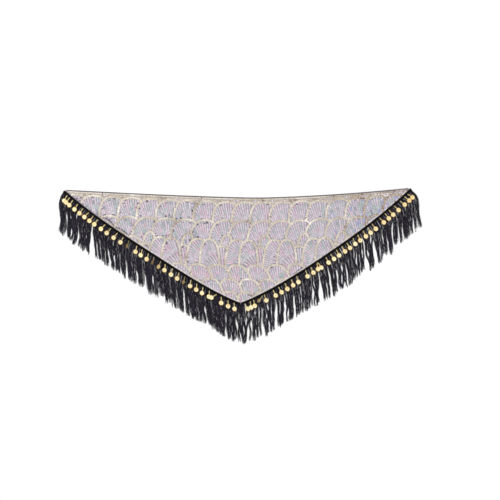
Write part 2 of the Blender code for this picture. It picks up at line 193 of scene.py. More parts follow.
# Sequin films, from one end of their tints to the other
RIB_TINTS = (
    # dark, slate blue, mint, pale mint, lavender, pale lavender, pink, rose, blue
    (0.00, (0.075, 0.065, 0.100)),
    (0.12, (0.360, 0.370, 0.450)),
    (0.24, (0.450, 0.540, 0.525)),
    (0.36, (0.570, 0.575, 0.595)),
    (0.48, (0.590, 0.520, 0.615)),
    (0.62, (0.670, 0.605, 0.680)),
    (0.76, (0.700, 0.535, 0.625)),
    (0.88, (0.720, 0.460, 0.535)),
    (1.00, (0.390, 0.430, 0.680)),
)
OUTLINE_TINTS = (
    # brown, beige, cream beige, cream, painted highlight
    (0.00, (0.230, 0.125, 0.080)),
    (0.20, (0.500, 0.420, 0.330)),
    (0.55, (0.665, 0.585, 0.480)),
    (0.85, (0.810, 0.740, 0.640)),
    (1.00, (0.970, 0.945, 0.900)),
)
WEDGE_TINTS = (
    # brown, beige, pinkish beige, lavender, near white as painted sparkle
    (0.00, (0.220, 0.150, 0.115)),
    (0.20, (0.420, 0.345, 0.265)),
    (0.50, (0.570, 0.480, 0.390)),
    (0.80, (0.600, 0.530, 0.540)),
    (1.00, (0.800, 0.735, 0.730)),
)
RIB_MOODS = {
    # share of the ribs' stretches that take each tint
    "upper left": {
        0.14: 0.06, 0.19: 0.08, 0.24: 0.12, 0.36: 0.15, 0.48: 0.21, 0.62: 0.23, 0.76: 0.11, 0.88: 0.04,
    },
    "middle": {0.24: 0.06, 0.36: 0.12, 0.48: 0.30, 0.62: 0.32, 0.76: 0.15, 0.88: 0.05},
    "lower": {0.24: 0.06, 0.36: 0.09, 0.48: 0.20, 0.62: 0.31, 0.76: 0.22, 0.88: 0.12},
    "right": {0.15: 0.05, 0.24: 0.13, 0.36: 0.16, 0.48: 0.20, 0.62: 0.29, 0.76: 0.08, 1.00: 0.09},
    "right corner": {0.10: 0.06, 0.24: 0.22, 0.36: 0.18, 0.48: 0.08, 0.62: 0.22, 1.00: 0.24},
}
MOOD_PLACES = (
    # mood, x from, x to, y from, y to. The first that fits counts.
    ("right corner", 0.44, 1.00, -1.00, 1.00),
    ("right", 0.30, 1.00, 0.10, 1.00),
    ("lower", -1.00, 1.00, -1.00, 0.02),
    ("upper left", -1.00, -0.15, 0.08, 1.00),
    ("middle", -1.00, 1.00, -1.00, 1.00),
)
MOOD_SEED = 23
RIB_STRETCH = 0.016
RIB_END = 0.005
RIB_SPECKS = (
    # x from, x to, y from, chance of a dark sequin at a rib's end, and elsewhere
    (-1.00, -0.12, 0.06, 0.11, 0.007),
    (0.52, 1.00, -1.00, 0.10, 0.010),
    (-1.00, 1.00, -1.00, 0.01, 0.000),
)
BROWN_FROM = 0.40
FEW_SPECKS = 0.01
OUTLINE_SPECKS = 0.11
WEDGE_SPECKS = 0.08

# Fringe: each strand of the solids is a lock of several yarns
STRANDS_PER_SIDE = 98
STRAND_LENGTH = 0.1405
STRAND_LENGTH_SPREAD = 0.006
STRAND_OWN_SPREAD = 0.3
HEADING_LIFT = 0.0004
STRAND_HEIGHT = 0.0020
STRAND_TOP = HEADING_LIFT + STRAND_HEIGHT
STRAND_BEND = 0.050
CLUMP_PULL = 0.40
CLUMP_SIZES = (2, 3, 3, 4, 4, 5)
CLUMP_SWAY = 0.0020
CLUMP_SWAY_WAVE = 0.8
CLUMP_SHORTER = 0.0035
CLUMP_TURN = 1.6
CLUMP_GATHER = {"left": (0.0, 0.9), "right": (0.0, 1.3)}
CLUMP_WAVE = 0.0013
LOCK_LONGER = 0.006
LOCK_TURN = 1.3
LOCK_STRAY = 0.0014
LOCK_WAVE = 0.0005
LOCK_POINTS = 20
LOCK_UNDER_BRAID = 0.0035
SHIFT_RISE = 1.25
WAVE_RISE = 3
WAVES_PER_LOCK = (1.4, 2.6)
KICK_FROM = 0.45
KICK_OVER = 0.5
POINT_TURN = {"left": 1.4, "right": -1.2}
POINT_CLOSE = 0.5
POINT_CLOSE_REACH = 0.022
FRINGE_SEED = {"left": 11, "right": 29}
YARNS_PER_LOCK = {"left": 12, "right": 10}
YARN_THICKNESS = 0.00115
ROOT_LEAN = (
    # x, degrees towards +X
    (-0.650, -33.0), (-0.600, -38.0), (-0.450, -43.0), (-0.415, -25.0), (-0.360, -16.0),
    (-0.200, -12.0), (0.000, 4.0), (0.125, 28.0), (0.175, 17.0), (0.340, 32.0), (0.420, 24.0),
    (0.500, 38.0), (0.620, 54.0),
)
FRINGE_LEAN = (
    # x, degrees towards +X
    (-0.650, -1.0), (-0.600, -1.5), (-0.550, -1.0), (-0.500, 1.0), (-0.400, 5.0), (-0.250, 8.0),
    (-0.100, 5.0), (0.000, 2.0), (0.250, 5.0), (0.350, 8.0), (0.550, 7.0), (0.630, 11.0),
)
HANG_BEFORE_KICK = (
    # x, degrees that the corners' locks hang inwards above their kick
    (-0.650, 7.5), (-0.620, 7.0), (-0.580, 5.5), (-0.545, 2.0), (-0.520, 0.0), (0.480, 0.0),
    (0.560, -2.0), (0.600, -7.0),
)
TIP_KICK = (
    # x, degrees towards +X that the tips turn further
    (-0.655, -10.0), (-0.630, -16.0), (-0.570, -20.0), (-0.545, -6.0), (-0.520, 0.0),
    (0.480, 0.0), (0.560, 3.0), (0.610, 10.0),
)
LOCK_FULLNESS = (
    # x, width of a lock against its share of the heading
    (-0.650, 1.30), (-0.620, 0.98), (-0.520, 0.90), (-0.440, 1.18), (-0.400, 1.48),
    (-0.060, 1.48), (0.000, 1.25), (0.060, 1.12), (0.120, 0.92), (0.520, 0.89), (0.570, 1.00),
    (0.600, 1.30),
)

# Coins and links, where the solids have them
COIN_RADIUS = 0.0085
COIN_THICKNESS = 0.0011
COIN_SIDES = 12
LINK_WIDTH = 0.0030
LINK_REACH = 0.0225
LINK_ON_BRAID = 0.0022
COIN_SEED = 5
COIN_NUDGE = 0.0015
COIN_ROLL_SPREAD = 5.0
COIN_SWING_SPREAD = 6.0
FUSED_DEPTH = 0.0005
COIN_RUNS = (
    # edge, first station from the corner, count, pitch
    ("left", 0.0215, 1, 0.0),
    ("left", 0.0300, 1, 0.0),
    ("left", 0.0455, 1, 0.0),
    ("left", 0.0690, 5, 0.0222),
    ("left", 0.1860, 5, 0.0285),
    ("left", 0.3360, 6, 0.0252),
    ("left", 0.4920, 7, 0.0260),
    ("left", 0.6580, 1, 0.0),
    ("left", 0.6990, 3, 0.0255),
    ("right", 0.0150, 1, 0.0),
    ("right", 0.0310, 1, 0.0),
    ("right", 0.0530, 1, 0.0),
    ("right", 0.0840, 4, 0.0227),
    ("right", 0.1870, 10, 0.0233),
    ("right", 0.4300, 1, 0.0),
    ("right", 0.4430, 1, 0.0),
    ("right", 0.4640, 2, 0.0245),
    ("right", 0.5260, 5, 0.0243),
    ("right", 0.6600, 2, 0.0240),
    ("right", 0.7050, 1, 0.0),
    ("right", 0.7190, 1, 0.0),
    ("right", 0.7310, 1, 0.0),
)
TURNED_COINS = (
    # edge, number from the corner, swing, roll
    ("left", 1, 6, 0),
    ("left", 2, -4, 2),
    ("left", 3, 0, 2),
    ("left", 13, 4, 68),
    ("left", 17, 4, 74),
    ("left", 18, -8, 48),
    ("left", 22, -3, 62),
    ("left", 26, 0, 0),
    ("left", 27, -56, 2),
    ("right", 1, 4, 0),
    ("right", 2, 0, -2),
    ("right", 18, 8, 0),
    ("right", 19, -16, 2),
    ("right", 28, -50, 56),
    ("right", 29, 0, 0),
    ("right", 30, 2, 2),
    ("right", 31, 26, 0),
)
STACKED_COINS = {"left": (2, 27), "right": (2, 19, 30)}

# The stamped coin's section, from its boss over the face and rim to its back
COIN_PROFILE = (
    # radius and height in millimetres, and how pale the place is coloured: the stamps paler, the boss
    # darker, and the rim darker as painted shade
    (0.90, 0.36, 0.00), (1.90, 0.42, 0.00), (2.20, 0.90, 0.45), (2.60, 1.02, 0.95),
    (3.00, 0.66, 0.50), (3.40, 0.62, 0.60), (3.90, 0.66, 0.72), (4.70, 0.62, 0.66),
    (5.30, 0.66, 0.66), (5.80, 0.62, 0.60), (6.25, 0.66, 0.72), (6.70, 0.62, 0.45),
    (7.20, 0.74, 0.25), (7.60, 1.12, 0.30), (8.05, 1.22, 0.20), (8.40, 1.05, 0.00),
    (8.50, 0.65, 0.00), (8.40, 0.20, 0.30), (8.05, 0.00, 0.40), (7.20, 0.10, 0.50),
    (4.00, 0.25, 0.50), (1.20, 0.20, 0.40),
)
COIN_STAMPS = (
    # from radius, to radius, how many round the coin, sharpness
    (6.0, 6.5, 24, 1.0),
    (3.0, 4.9, 8, 1.5),
)
STAMP_HEIGHT = 0.30
STAMP_SHINE = 1.6
COIN_BACK = 0.6
COIN_SEGMENTS = 48
MILLIMETRE = 1000

# The link: a flat shank that arches from the coin's ring to the eye over the braid
SHANK_POINTS = 8
SHANK_FROM = 0.0076
SHANK_LENGTH = 0.0112
SHANK_HEIGHT = 0.00075
SHANK_ARCH = 0.0004
SHANK_SWAY = 0.0002
SHANK_WIRE = (0.00125, 0.00045, 8, False)
LINK_RINGS = (
    # middle y, half width, half length, height, points, wire half width, wire half height
    (0.0203, 0.00155, 0.0017, 0.0008, 16, 0.00055, 0.00050),
    (0.0079, 0.0013, 0.0015, 0.00135, 14, 0.00035, 0.00035),
)
LINK_RING_SIDES = 6
LINK_RELIEF = 0.7

BLACK = (0.0, 0.0, 0.0, 1.0)
WHITE = (1.0, 1.0, 1.0, 1.0)
FULL_TURN = 2 * math.pi
SOCKET_KINDS = {float: "Float", int: "Int", tuple: "Color"}


# Outline and surface of the cloth

def smooth(share):
    share = min(max(share, 0.0), 1.0)
    return share * share * (3 - 2 * share)


def from_table(table, at):
    """Straight-line value of a two-column table at a place."""
    if at <= table[0][0]:
        return table[0][1]
    for (a, low), (b, high) in pairwise(table):
        if at <= b:
            return low + (high - low) * (at - a) / (b - a)
    return table[-1][1]


def top_y(x):
    share = (x - LEFT_CORNER.x) / (RIGHT_CORNER.x - LEFT_CORNER.x)
    across = 2 * share - 1
    across -= TOP_SAG_LEAN * (1 - across * across)
    chord = LEFT_CORNER.y + share * (RIGHT_CORNER.y - LEFT_CORNER.y)
    return chord - TOP_SAG * (1 - abs(across) ** TOP_SAG_POWER)


def seam_y(x):
    side, corner = ("left", LEFT_CORNER) if x < LOWER_POINT.x else ("right", RIGHT_CORNER)
    span = abs(corner.x - LOWER_POINT.x)
    away = math.hypot(x - LOWER_POINT.x, POINT_RADIUS) - POINT_RADIUS
    share = 1 - away / (math.hypot(span, POINT_RADIUS) - POINT_RADIUS)
    bow = BOW[side] * (1 - abs(2 * share - 1) ** BOW_POWER[side])
    return corner.y + share * (LOWER_POINT.y - corner.y) - bow


def seam_line(side):
    """Points from a top corner down to the lower point, and their stations."""
    corner = LEFT_CORNER if side == "left" else RIGHT_CORNER
    points = []
    for k in range(SEAM_SAMPLES + 1):
        x = corner.x + (LOWER_POINT.x - corner.x) * k / SEAM_SAMPLES
        points.append(Vector((x, seam_y(x))))
    stations = [0.0]
    for a, b in pairwise(points):
        stations.append(stations[-1] + (b - a).length)
    return points, stations


SEAMS = {side: seam_line(side) for side in BOW}


def seam_at(side, station):
    """Point on the seam and the outward direction there. Past the corner it runs on straight."""
    points, stations = SEAMS[side]
    inside = min(max(station, 0.0), stations[-1])
    k = min(int(inside / stations[-1] * SEAM_SAMPLES), SEAM_SAMPLES - 1)
    while k > 0 and stations[k] > inside:
        k -= 1
    while k < SEAM_SAMPLES - 1 and stations[k + 1] < inside:
        k += 1
    step = points[k + 1] - points[k]
    along = step.normalized()
    point = points[k] + along * (inside - stations[k]) + along * (station - inside)
    outward = Vector((along.y, -along.x)) if side == "left" else Vector((-along.y, along.x))
    if inside == stations[-1]:
        outward = Vector((0.0, -1.0))
    return point, outward


def seam_length(side):
    return SEAMS[side][1][-1]


def off_seam(side, station, outwards):
    point, outward = seam_at(side, station)
    return point + outward * outwards


def waves(table, x, y):
    """Summed height of soft ridges at a place."""
    height = 0.0
    for centre_x, centre_y, crest, half_length, half_width, high in table:
        turn = math.radians(crest)
        dx, dy = x - centre_x, y - centre_y
        along = abs(dx * math.cos(turn) + dy * math.sin(turn)) / half_length
        across = abs(dy * math.cos(turn) - dx * math.sin(turn)) / half_width
        if along < 1 and across < 1:
            height += high * (math.cos(along * math.pi / 2) * math.cos(across * math.pi / 2)) ** 2
    return height


def cloth_height(x, y):
    """Height of the cloth's underside: its ripples and, nearer to the seam, its creases."""
    inside = (y - seam_y(x)) * SEAM_SLOPE
    ripple = waves(RIPPLES, x, y) * smooth((inside - FLAT_BESIDE_SEAM) / FADE_FROM_SEAM)
    return ripple + waves(CREASES, x, y) * smooth((inside - CREASE_FROM_SEAM) / CREASE_FADE)


def cloth_normal(x, y, reach=0.0015):
    slope_x = cloth_height(x + reach, y) - cloth_height(x - reach, y)
    slope_y = cloth_height(x, y + reach) - cloth_height(x, y - reach)
    return Vector((-slope_x, -slope_y, 2 * reach)).normalized()


# Node trees

class Value:
    """One result in a node tree. Sums of values write the tree's math steps."""

    def __init__(self, steps, socket):
        self.steps = steps
        self.socket = socket

    def math(self, operation, *others):
        return self.steps.math(operation, self, *others)

    def __add__(self, other):
        return self.math("ADD", other)

    def __sub__(self, other):
        return self.math("SUBTRACT", other)

    def __rsub__(self, other):
        return self.steps.math("SUBTRACT", other, self)

    def __mul__(self, other):
        return self.math("MULTIPLY", other)

    def __truediv__(self, other):
        return self.math("DIVIDE", other)

    def clamped(self):
        self.socket.node.use_clamp = True
        return self


class Steps:
    """Writes a node tree one step at a time. A step's inputs are numbers or other values."""

    def __init__(self, tree):
        self.tree = tree

    def find(self, sockets, key):
        if isinstance(key, int):
            return sockets[key]
        return next(found for found in sockets if found.name == key and found.enabled)

    def feed(self, node, into):
        for key, value in into.items():
            socket = self.find(node.inputs, key)
            if isinstance(value, Value):
                self.tree.links.new(value.socket, socket)
            else:
                socket.default_value = value

    def node(self, kind, into=None, **settings):
        made = self.tree.nodes.new(kind)
        for name, value in settings.items():
            setattr(made, name, value)
        self.feed(made, into or {})
        return made

    def out(self, node, key=0):
        return Value(self, self.find(node.outputs, key))

    def step(self, kind, into=None, out=0, **settings):
        return self.out(self.node(kind, into, **settings), out)

    def math(self, operation, *values):
        return self.step("ShaderNodeMath", dict(enumerate(values)), operation=operation)

    def vector(self, operation, *values):
        return self.step("ShaderNodeVectorMath", dict(enumerate(values)), operation=operation)

    def scaled(self, vector, by):
        return self.step("ShaderNodeVectorMath", {0: vector, "Scale": by}, operation="SCALE")

    def xyz(self, x, y, z):
        return self.step("ShaderNodeCombineXYZ", {0: x, 1: y, 2: z})

    def ranged(self, value, low, high, first, last, ease="LINEAR"):
        into = {"Value": value, "From Min": low, "From Max": high, "To Min": first, "To Max": last}
        return self.step("ShaderNodeMapRange", into, interpolation_type=ease)

    def place(self):
        return self.step("ShaderNodeTexCoord", out="Object")

    def noise(self, place, scale, detail):
        return self.step("ShaderNodeTexNoise", {"Vector": place, "Scale": scale, "Detail": detail})

    def mix(self, share, dark, light):
        into = {"Factor": share, "A": dark, "B": light}
        return self.step("ShaderNodeMix", into, out="Result", data_type="RGBA")

    def given(self):
        node = self.node("NodeGroupInput")
        return {socket.name: Value(self, socket) for socket in node.outputs if socket.name}


class ShapeSteps(Steps):
    """Steps that make and place geometry."""

    def own(self, name, kind="FLOAT"):
        return self.step("GeometryNodeInputNamedAttribute", {"Name": name}, data_type=kind)

    def store(self, geometry, name, value, domain="POINT"):
        into = {"Geometry": geometry, "Name": name, "Value": value}
        return self.step("GeometryNodeStoreNamedAttribute", into, domain=domain, data_type="FLOAT")

    def chance(self, low, high, seed, number=None):
        into = {"Min": low, "Max": high, "Seed": seed}
        if number is not None:
            into["ID"] = number
        return self.step("FunctionNodeRandomValue", into, out="Value", data_type="FLOAT")

    def curve(self, lines):
        return self.step("GeometryNodeMeshToCurve", {"Mesh": lines})

    def evened(self, curve, spacing):
        into = {"Curve": curve, "Length": spacing}
        return self.step("GeometryNodeResampleCurve", into, mode="LENGTH")

    def repeated(self, curve, times):
        """Copies of a curve, and each copy's number."""
        into = {"Geometry": curve, "Amount": times}
        node = self.node("GeometryNodeDuplicateElements", into, domain="SPLINE")
        return self.out(node, "Geometry"), self.out(node, "Duplicate Index")

    def along(self, measure="Length"):
        return self.step("GeometryNodeSplineParameter", out=measure)

    def aside(self):
        """Level direction at right angles to a curve."""
        tangent = self.step("GeometryNodeInputTangent")
        return self.vector("NORMALIZE", self.vector("CROSS_PRODUCT", tangent, (0.0, 0.0, 1.0)))

    def moved(self, geometry, offset):
        into = {"Geometry": geometry, "Offset": offset}
        return self.step("GeometryNodeSetPosition", into)

    def ring(self, corners, radius):
        into = {"Resolution": corners, "Radius": radius}
        return self.step("GeometryNodeCurvePrimitiveCircle", into, mode="RADIUS")

    def marked_ring(self, corners, radius):
        """A round section whose corners know how far round they are."""
        return self.store(self.ring(corners, radius), "around", self.along("Factor"))

    def swept(self, path, section, **more):
        into = {"Curve": path, "Profile Curve": section, "Fill Caps": True, **more}
        return self.step("GeometryNodeCurveToMesh", into)

    def shaded(self, mesh):
        return self.step("GeometryNodeSetShadeSmooth", {"Geometry": mesh})

    def turned(self, rotation, x, y, z):
        turn = self.step("FunctionNodeEulerToRotation", {"Euler": self.xyz(x, y, z)})
        into = {"Rotation": rotation, "Rotate By": turn}
        return self.step("FunctionNodeRotateRotation", into, rotation_space="LOCAL")

    def instances(self, points, shape, rotation, size):
        scale = self.xyz(size, size, size)
        into = {"Points": points, "Instance": shape, "Rotation": rotation, "Scale": scale}
        return self.step("GeometryNodeInstanceOnPoints", into)


def add_inputs(tree, inputs):
    """Named inputs with their first values. A word in place of a value is the input's kind."""
    for label, value in inputs.items():
        kind = value if isinstance(value, str) else SOCKET_KINDS[type(value)]
        socket = tree.interface.new_socket(label, in_out="INPUT", socket_type=f"NodeSocket{kind}")
        if not isinstance(value, str):
            socket.default_value = value


def geometry_tree(name, inputs):
    """A geometry tree with named inputs. Returns its steps and its inputs by name."""
    tree = bpy.data.node_groups.new(name, "GeometryNodeTree")
    tree.interface.new_socket("Geometry", in_out="OUTPUT", socket_type="NodeSocketGeometry")
    add_inputs(tree, {"Geometry": "Geometry", **inputs, "Material": "Material"})
    steps = ShapeSteps(tree)
    return steps, steps.given()


def close_tree(steps, geometry, material):
    """Ends a geometry tree in plain mesh with its material."""
    solid = steps.step("GeometryNodeRealizeInstances", {"Geometry": geometry})
    painted = steps.step("GeometryNodeSetMaterial", {"Geometry": solid, "Material": material})
    steps.node("NodeGroupOutput", {"Geometry": painted})
    return steps.tree


def run_tree(piece, tree, values):
    """Runs a tree on a piece and leaves the result as the piece's plain mesh."""
    modifier = piece.modifiers.new(tree.name, "NODES")
    modifier.node_group = tree
    for item in tree.interface.items_tree:
        if item.item_type == "SOCKET" and item.in_out == "INPUT" and item.name in values:
            modifier[item.identifier] = values[item.name]
    graph = bpy.context.evaluated_depsgraph_get()
    made = bpy.data.meshes.new_from_object(piece.evaluated_get(graph), depsgraph=graph)
    piece.modifiers.remove(modifier)
    old = piece.data
    piece.data = made
    bpy.data.meshes.remove(old)
    made.name = piece.name
    return piece


# Meshes

def new_piece(name, points, faces=(), edges=(), finish=None):
    mesh = bpy.data.meshes.new(name)
    mesh.from_pydata([tuple(point) for point in points], list(edges), list(faces))
    if finish is not None:
        mesh.materials.append(finish)
    piece = bpy.data.objects.new(name, mesh)
    bpy.context.scene.collection.objects.link(piece)
    return piece


def give_attribute(piece, name, kind, values):
    layer = piece.data.attributes.new(name, kind, "POINT")
    key = "vector" if kind == "FLOAT_VECTOR" else "value"
    layer.data.foreach_set(key, np.array(values, dtype=np.float32).ravel())


def lines_piece(name, lines, attributes=()):
    """Open lines as edges. Each attribute is (name, kind, function of line number and point)."""
    points, edges, owner = [], [], []
    for number, line in enumerate(lines):
        first = len(points)
        points.extend(line)
        owner.extend([number] * len(line))
        edges.extend((k, k + 1) for k in range(first, len(points) - 1))
    piece = new_piece(name, points, edges=edges)
    for label, kind, value in attributes:
        values = [value(number, point) for number, point in zip(owner, points, strict=True)]
        give_attribute(piece, label, kind, values)
    return piece


def shell(name, rows, thickness, finish):
    """A closed thin wall: rows of points as its underside, raised by the thickness."""
    bm = bmesh.new()
    grid = [[bm.verts.new(point) for point in row] for row in rows]
    for upper, lower in pairwise(grid):
        for k in range(len(upper) - 1):
            bm.faces.new((upper[k], lower[k], lower[k + 1], upper[k + 1]))
    lifted = bmesh.ops.extrude_face_region(bm, geom=list(bm.faces), use_keep_orig=True)["geom"]
    for part in lifted:
        if isinstance(part, bmesh.types.BMVert):
            part.co.z += thickness
    piece = new_piece(name, ())
    turn_outwards(bm, piece)
    piece.data.materials.append(finish)
    return piece


def turn_outwards(bm, piece):
    """Ends a mesh: its faces point outwards and are shaded smooth."""
    bmesh.ops.recalc_face_normals(bm, faces=bm.faces)
    bm.to_mesh(piece.data)
    bm.free()
    piece.data.shade_smooth()


def joined(name, pieces):
    """Several plain meshes as one piece."""
    with bpy.context.temp_override(active_object=pieces[0], selected_editable_objects=pieces):
        bpy.ops.object.join()
    pieces[0].name = name
    pieces[0].data.name = name
    return pieces[0]


def hang_on_part(piece, slot, *nodes):
    """Moves a finished mesh into the part's frame, rides it and hides the solids it replaces."""
    piece.data.transform(Matrix.Translation(CENTRING))
    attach(piece, "root")
    if nodes:
        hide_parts(*nodes)
    return piece


# Material effects

def effect_group(name, inputs):
    tree = bpy.data.node_groups.new(name, "ShaderNodeTree")
    add_inputs(tree, inputs)
    steps = Steps(tree)
    return steps, steps.given()


def close_effect(steps, results):
    """Ends an effect with its outputs, named for the shader's inputs that they feed."""
    for label in results:
        kind = "Color" if label == "Base Color" else "Float"
        steps.tree.interface.new_socket(label, in_out="OUTPUT", socket_type=f"NodeSocket{kind}")
    steps.node("NodeGroupOutput", results)
    return steps.tree


def spun_yarn_effect():
    """Ply lines that wind round a yarn, with loose fibre between them. The ply crests are painted lighter
    than the grooves, a painted shade of the twist, and each yarn's own lift towards the light colour is a
    painted highlight streak.
    """
    steps, given = effect_group("spun yarn", {
        "Along": 0.0,
        "Around": 0.0,
        "Yarn Shade": 0.0,
        "Ply Length": 0.004,
        "Dark": BLACK,
        "Light": WHITE,
    })
    wound = given["Along"] / given["Ply Length"] + given["Around"]
    ply = (wound * FULL_TURN).math("SINE").math("ABSOLUTE")
    place = steps.place()
    fibre = steps.noise(place, 900.0, 2.0)
    drift = steps.noise(place, 55.0, 2.0)
    shade = ply * 0.55 + fibre * 0.25 + drift * 0.35 + given["Yarn Shade"] - 0.35
    colour = steps.mix(shade.clamped(), given["Dark"], given["Light"])
    return close_effect(steps, {"Base Color": colour, "Height": ply + fibre * 0.5})


def plating_and_painted_shine_effect():
    """Gold plating with fine scratches: darker and duller in hollows and, as painted shade, on the coin's
    rim, paler on the stamps, with coin-sized cloudy patches of painted reflection.
    """
    steps, given = effect_group("worn plating", {
        "Relief": 0.5,
        "Hollow": BLACK,
        "Raised": WHITE,
        "Deep Gold": 0.0,
        "Polish": 0.2,
    })
    place = steps.place()
    # Coin-sized cloud: patches of painted reflection that shift parts of each coin and link between the
    # dark and the pale gold
    cloud = steps.noise(place, 70.0, 3.0)
    streaks = steps.step("ShaderNodeMapping", {"Vector": place, "Scale": (240.0, 2600.0, 900.0)})
    scratch = steps.noise(streaks, 1.0, 2.0)
    mask = (given["Relief"] + cloud * 1.6 - 0.76 - given["Deep Gold"] * 0.20).clamped()
    colour = steps.mix(mask, given["Hollow"], given["Raised"])
    rough = given["Polish"] + (1.0 - mask) * 0.20 + scratch * 0.12
    return close_effect(steps, {"Base Color": colour, "Roughness": rough, "Height": scratch})


def sequin_film_effect():
    """Colour of a coated sequin: its own tint, or a darker one, with fine grain."""
    steps, given = effect_group("sequin film", {"Tint": WHITE, "Shade": 0.5, "Depth": 0.3})
    grain = steps.noise(steps.place(), 420.0, 2.0)
    level = (given["Shade"] + grain * 0.35 - 0.17).clamped()
    dark = steps.scaled(given["Tint"], 1.0 - given["Depth"])
    colour = steps.mix(level, dark, given["Tint"])
    return close_effect(steps, {"Base Color": colour, "Roughness": grain * 0.22 + 0.24})


def new_finish(name, **constants):
    finish = bpy.data.materials.new(name)
    finish.use_nodes = True
    steps = Steps(finish.node_tree)
    shader = finish.node_tree.nodes["Principled BSDF"]
    steps.feed(shader, {label.replace("_", " "): value for label, value in constants.items()})
    return finish, steps, shader


def bump(steps, shader, height, strength, distance):
    into = {"Strength": strength, "Distance": distance, "Height": height}
    steps.feed(shader, {"Normal": steps.step("ShaderNodeBump", into)})


def use_effect(steps, shader, group, values):
    """Places a shared effect, leads its colour and roughness to the shader, returns its height."""
    placed = steps.node("ShaderNodeGroup", values, node_tree=group)
    found = {socket.name: Value(steps, socket) for socket in placed.outputs}
    height = found.pop("Height", None)
    steps.feed(shader, found)
    return height


def piece_attribute(steps, name):
    return steps.step("ShaderNodeAttribute", out="Fac", attribute_name=name)


def colour_ramp(steps, factor, stops):
    node = steps.node("ShaderNodeValToRGB", {"Fac": factor})
    band = node.color_ramp
    band.interpolation = "LINEAR"
    while len(band.elements) < len(stops):
        band.elements.new(0.5)
    for element, (at, colour) in zip(band.elements, stops, strict=True):
        element.position = at
        element.color = (*colour, 1.0)
    return steps.out(node, "Color")


def yarn_finish(name, spun_yarn, dark, light, ply_length, relief, look):
    finish, steps, shader = new_finish(name, **look)
    height = use_effect(steps, shader, spun_yarn, {
        "Along": piece_attribute(steps, "along"),
        "Around": piece_attribute(steps, "around"),
        "Yarn Shade": piece_attribute(steps, "yarn_shade"),
        "Ply Length": ply_length,
        "Dark": (*dark, 1.0),
        "Light": (*light, 1.0),
    })
    bump(steps, shader, height, 0.6, relief)
    return finish


def net_finish():
    """Ground net: fine meshes between knotted threads, with cloudy patches."""
    finish, steps, shader = new_finish("sequin_net_ground", Roughness=0.8)
    place = steps.place()
    into = {"Vector": place, "Scale": 620.0, "Randomness": 0.35}
    mesh = steps.step("ShaderNodeTexVoronoi", into, feature="DISTANCE_TO_EDGE")
    thread = steps.ranged(mesh, 0.05, 0.22, 1.0, 0.0)
    cloud = steps.noise(place, 22.0, 3.0)
    colour = colour_ramp(steps, thread * 0.55 + cloud * 0.45, (
        (0.10, (0.175, 0.147, 0.172)),
        (0.45, (0.330, 0.287, 0.326)),
        (0.85, (0.470, 0.416, 0.456)),
    ))
    steps.feed(shader, {"Base Color": colour})
    bump(steps, shader, thread, 0.5, 0.0003)
    return finish


def tinted_finish(name, film, stops):
    """Coated sequins whose colours run from one stop to the next."""
    look = {"Metallic": 0.20, "Coat_Weight": 0.35, "Coat_Roughness": 0.15}
    finish, steps, shader = new_finish(name, **look)
    tint = colour_ramp(steps, piece_attribute(steps, "tint"), stops)
    values = {"Tint": tint, "Shade": piece_attribute(steps, "shade"), "Depth": 0.28}
    use_effect(steps, shader, film, values)
    return finish


def gold_finish(name, plating, hollow_and_shade, raised_and_lit, polish):
    finish, steps, shader = new_finish(name, Metallic=1.0)
    height = use_effect(steps, shader, plating, {
        "Relief": piece_attribute(steps, "relief"),
        "Hollow": (*hollow_and_shade, 1.0),
        "Raised": (*raised_and_lit, 1.0),
        "Deep Gold": piece_attribute(steps, "deep_gold"),
        "Polish": polish,
    })
    bump(steps, shader, height, 0.15, 0.0001)
    return finish


def make_finishes():
    spun_yarn = spun_yarn_effect()
    plating = plating_and_painted_shine_effect()
    film = sequin_film_effect()
    soft = {"Roughness": 0.60, "Specular_IOR_Level": 0.12}
    dull = {"Roughness": 0.75, "Specular_IOR_Level": 0.10}
    finishes = {
        "net": net_finish(),
        "ribs": tinted_finish("lavender_sequins", film, RIB_TINTS),
        "outlines": tinted_finish("cream_gold_sequins", film, OUTLINE_TINTS),
        "wedges": tinted_finish("beige_lavender_sequins", film, WEDGE_TINTS),
        # Each gold runs from a dark colour, for hollows and the rim's painted shade, to a pale one for the
        # stamps; patches of painted reflection push parts towards either end
        "coin": gold_finish("coin_plating", plating, (0.78, 0.50, 0.17), (1.00, 0.98, 0.68), 0.22),
        "link": gold_finish("link_plating", plating, (0.76, 0.56, 0.22), (1.00, 0.87, 0.46), 0.24),
    }
    # Each yarn runs from its dark to its light colour: the light end is painted highlight on the ply crests
    # and on highlighted yarns, bluish on the fringe
    for key, name, dark, light, ply_length, relief, look in (
        ("hem", "hem_thread", (0.016, 0.015, 0.016), (0.085, 0.080, 0.085), 0.0016, 0.0002, soft),
        ("braid", "braid_yarn", (0.002, 0.002, 0.002), (0.008, 0.007, 0.009), 0.0040, 0.0003, dull),
        ("fringe", "fringe_yarn", (0.001, 0.001, 0.002), (0.038, 0.032, 0.051), 0.0050, 0.0003, soft),
    ):
        finishes[key] = yarn_finish(name, spun_yarn, dark, light, ply_length, relief, look)
    return finishes


# Fans and the rows of sequins in them

def lay_out_fans():
    """Every fan as its middle, half width, foot, height, lean and focus, in the order they lie."""
    nudge = random.Random(FAN_SEED)
    fans = []
    for first, pitch, count, drop, half, height, lean, over, focus_x, focus_down in FAN_ROWS:
        row = []
        for k in range(count):
            left = first + pitch * k + nudge.uniform(-1, 1) * FAN_CHANCE
            middle = left + half
            top = top_y(middle) - drop - FIRST_ROW_SLOPE * (drop < FIRST_ROW_DROP) * middle
            top += nudge.uniform(-1, 1) * FAN_CHANCE * FAN_DROP_CHANCE
            row.append({
                "middle": middle,
                "half": half * nudge.uniform(*FAN_SIZES),
                "foot": top - height,
                "height": height,
                "lean": lean,
                "focus": Vector((middle + focus_x * half, top - height * (1 + focus_down))),
            })
        fans.extend(row if over > 0 else reversed(row))
    return fans


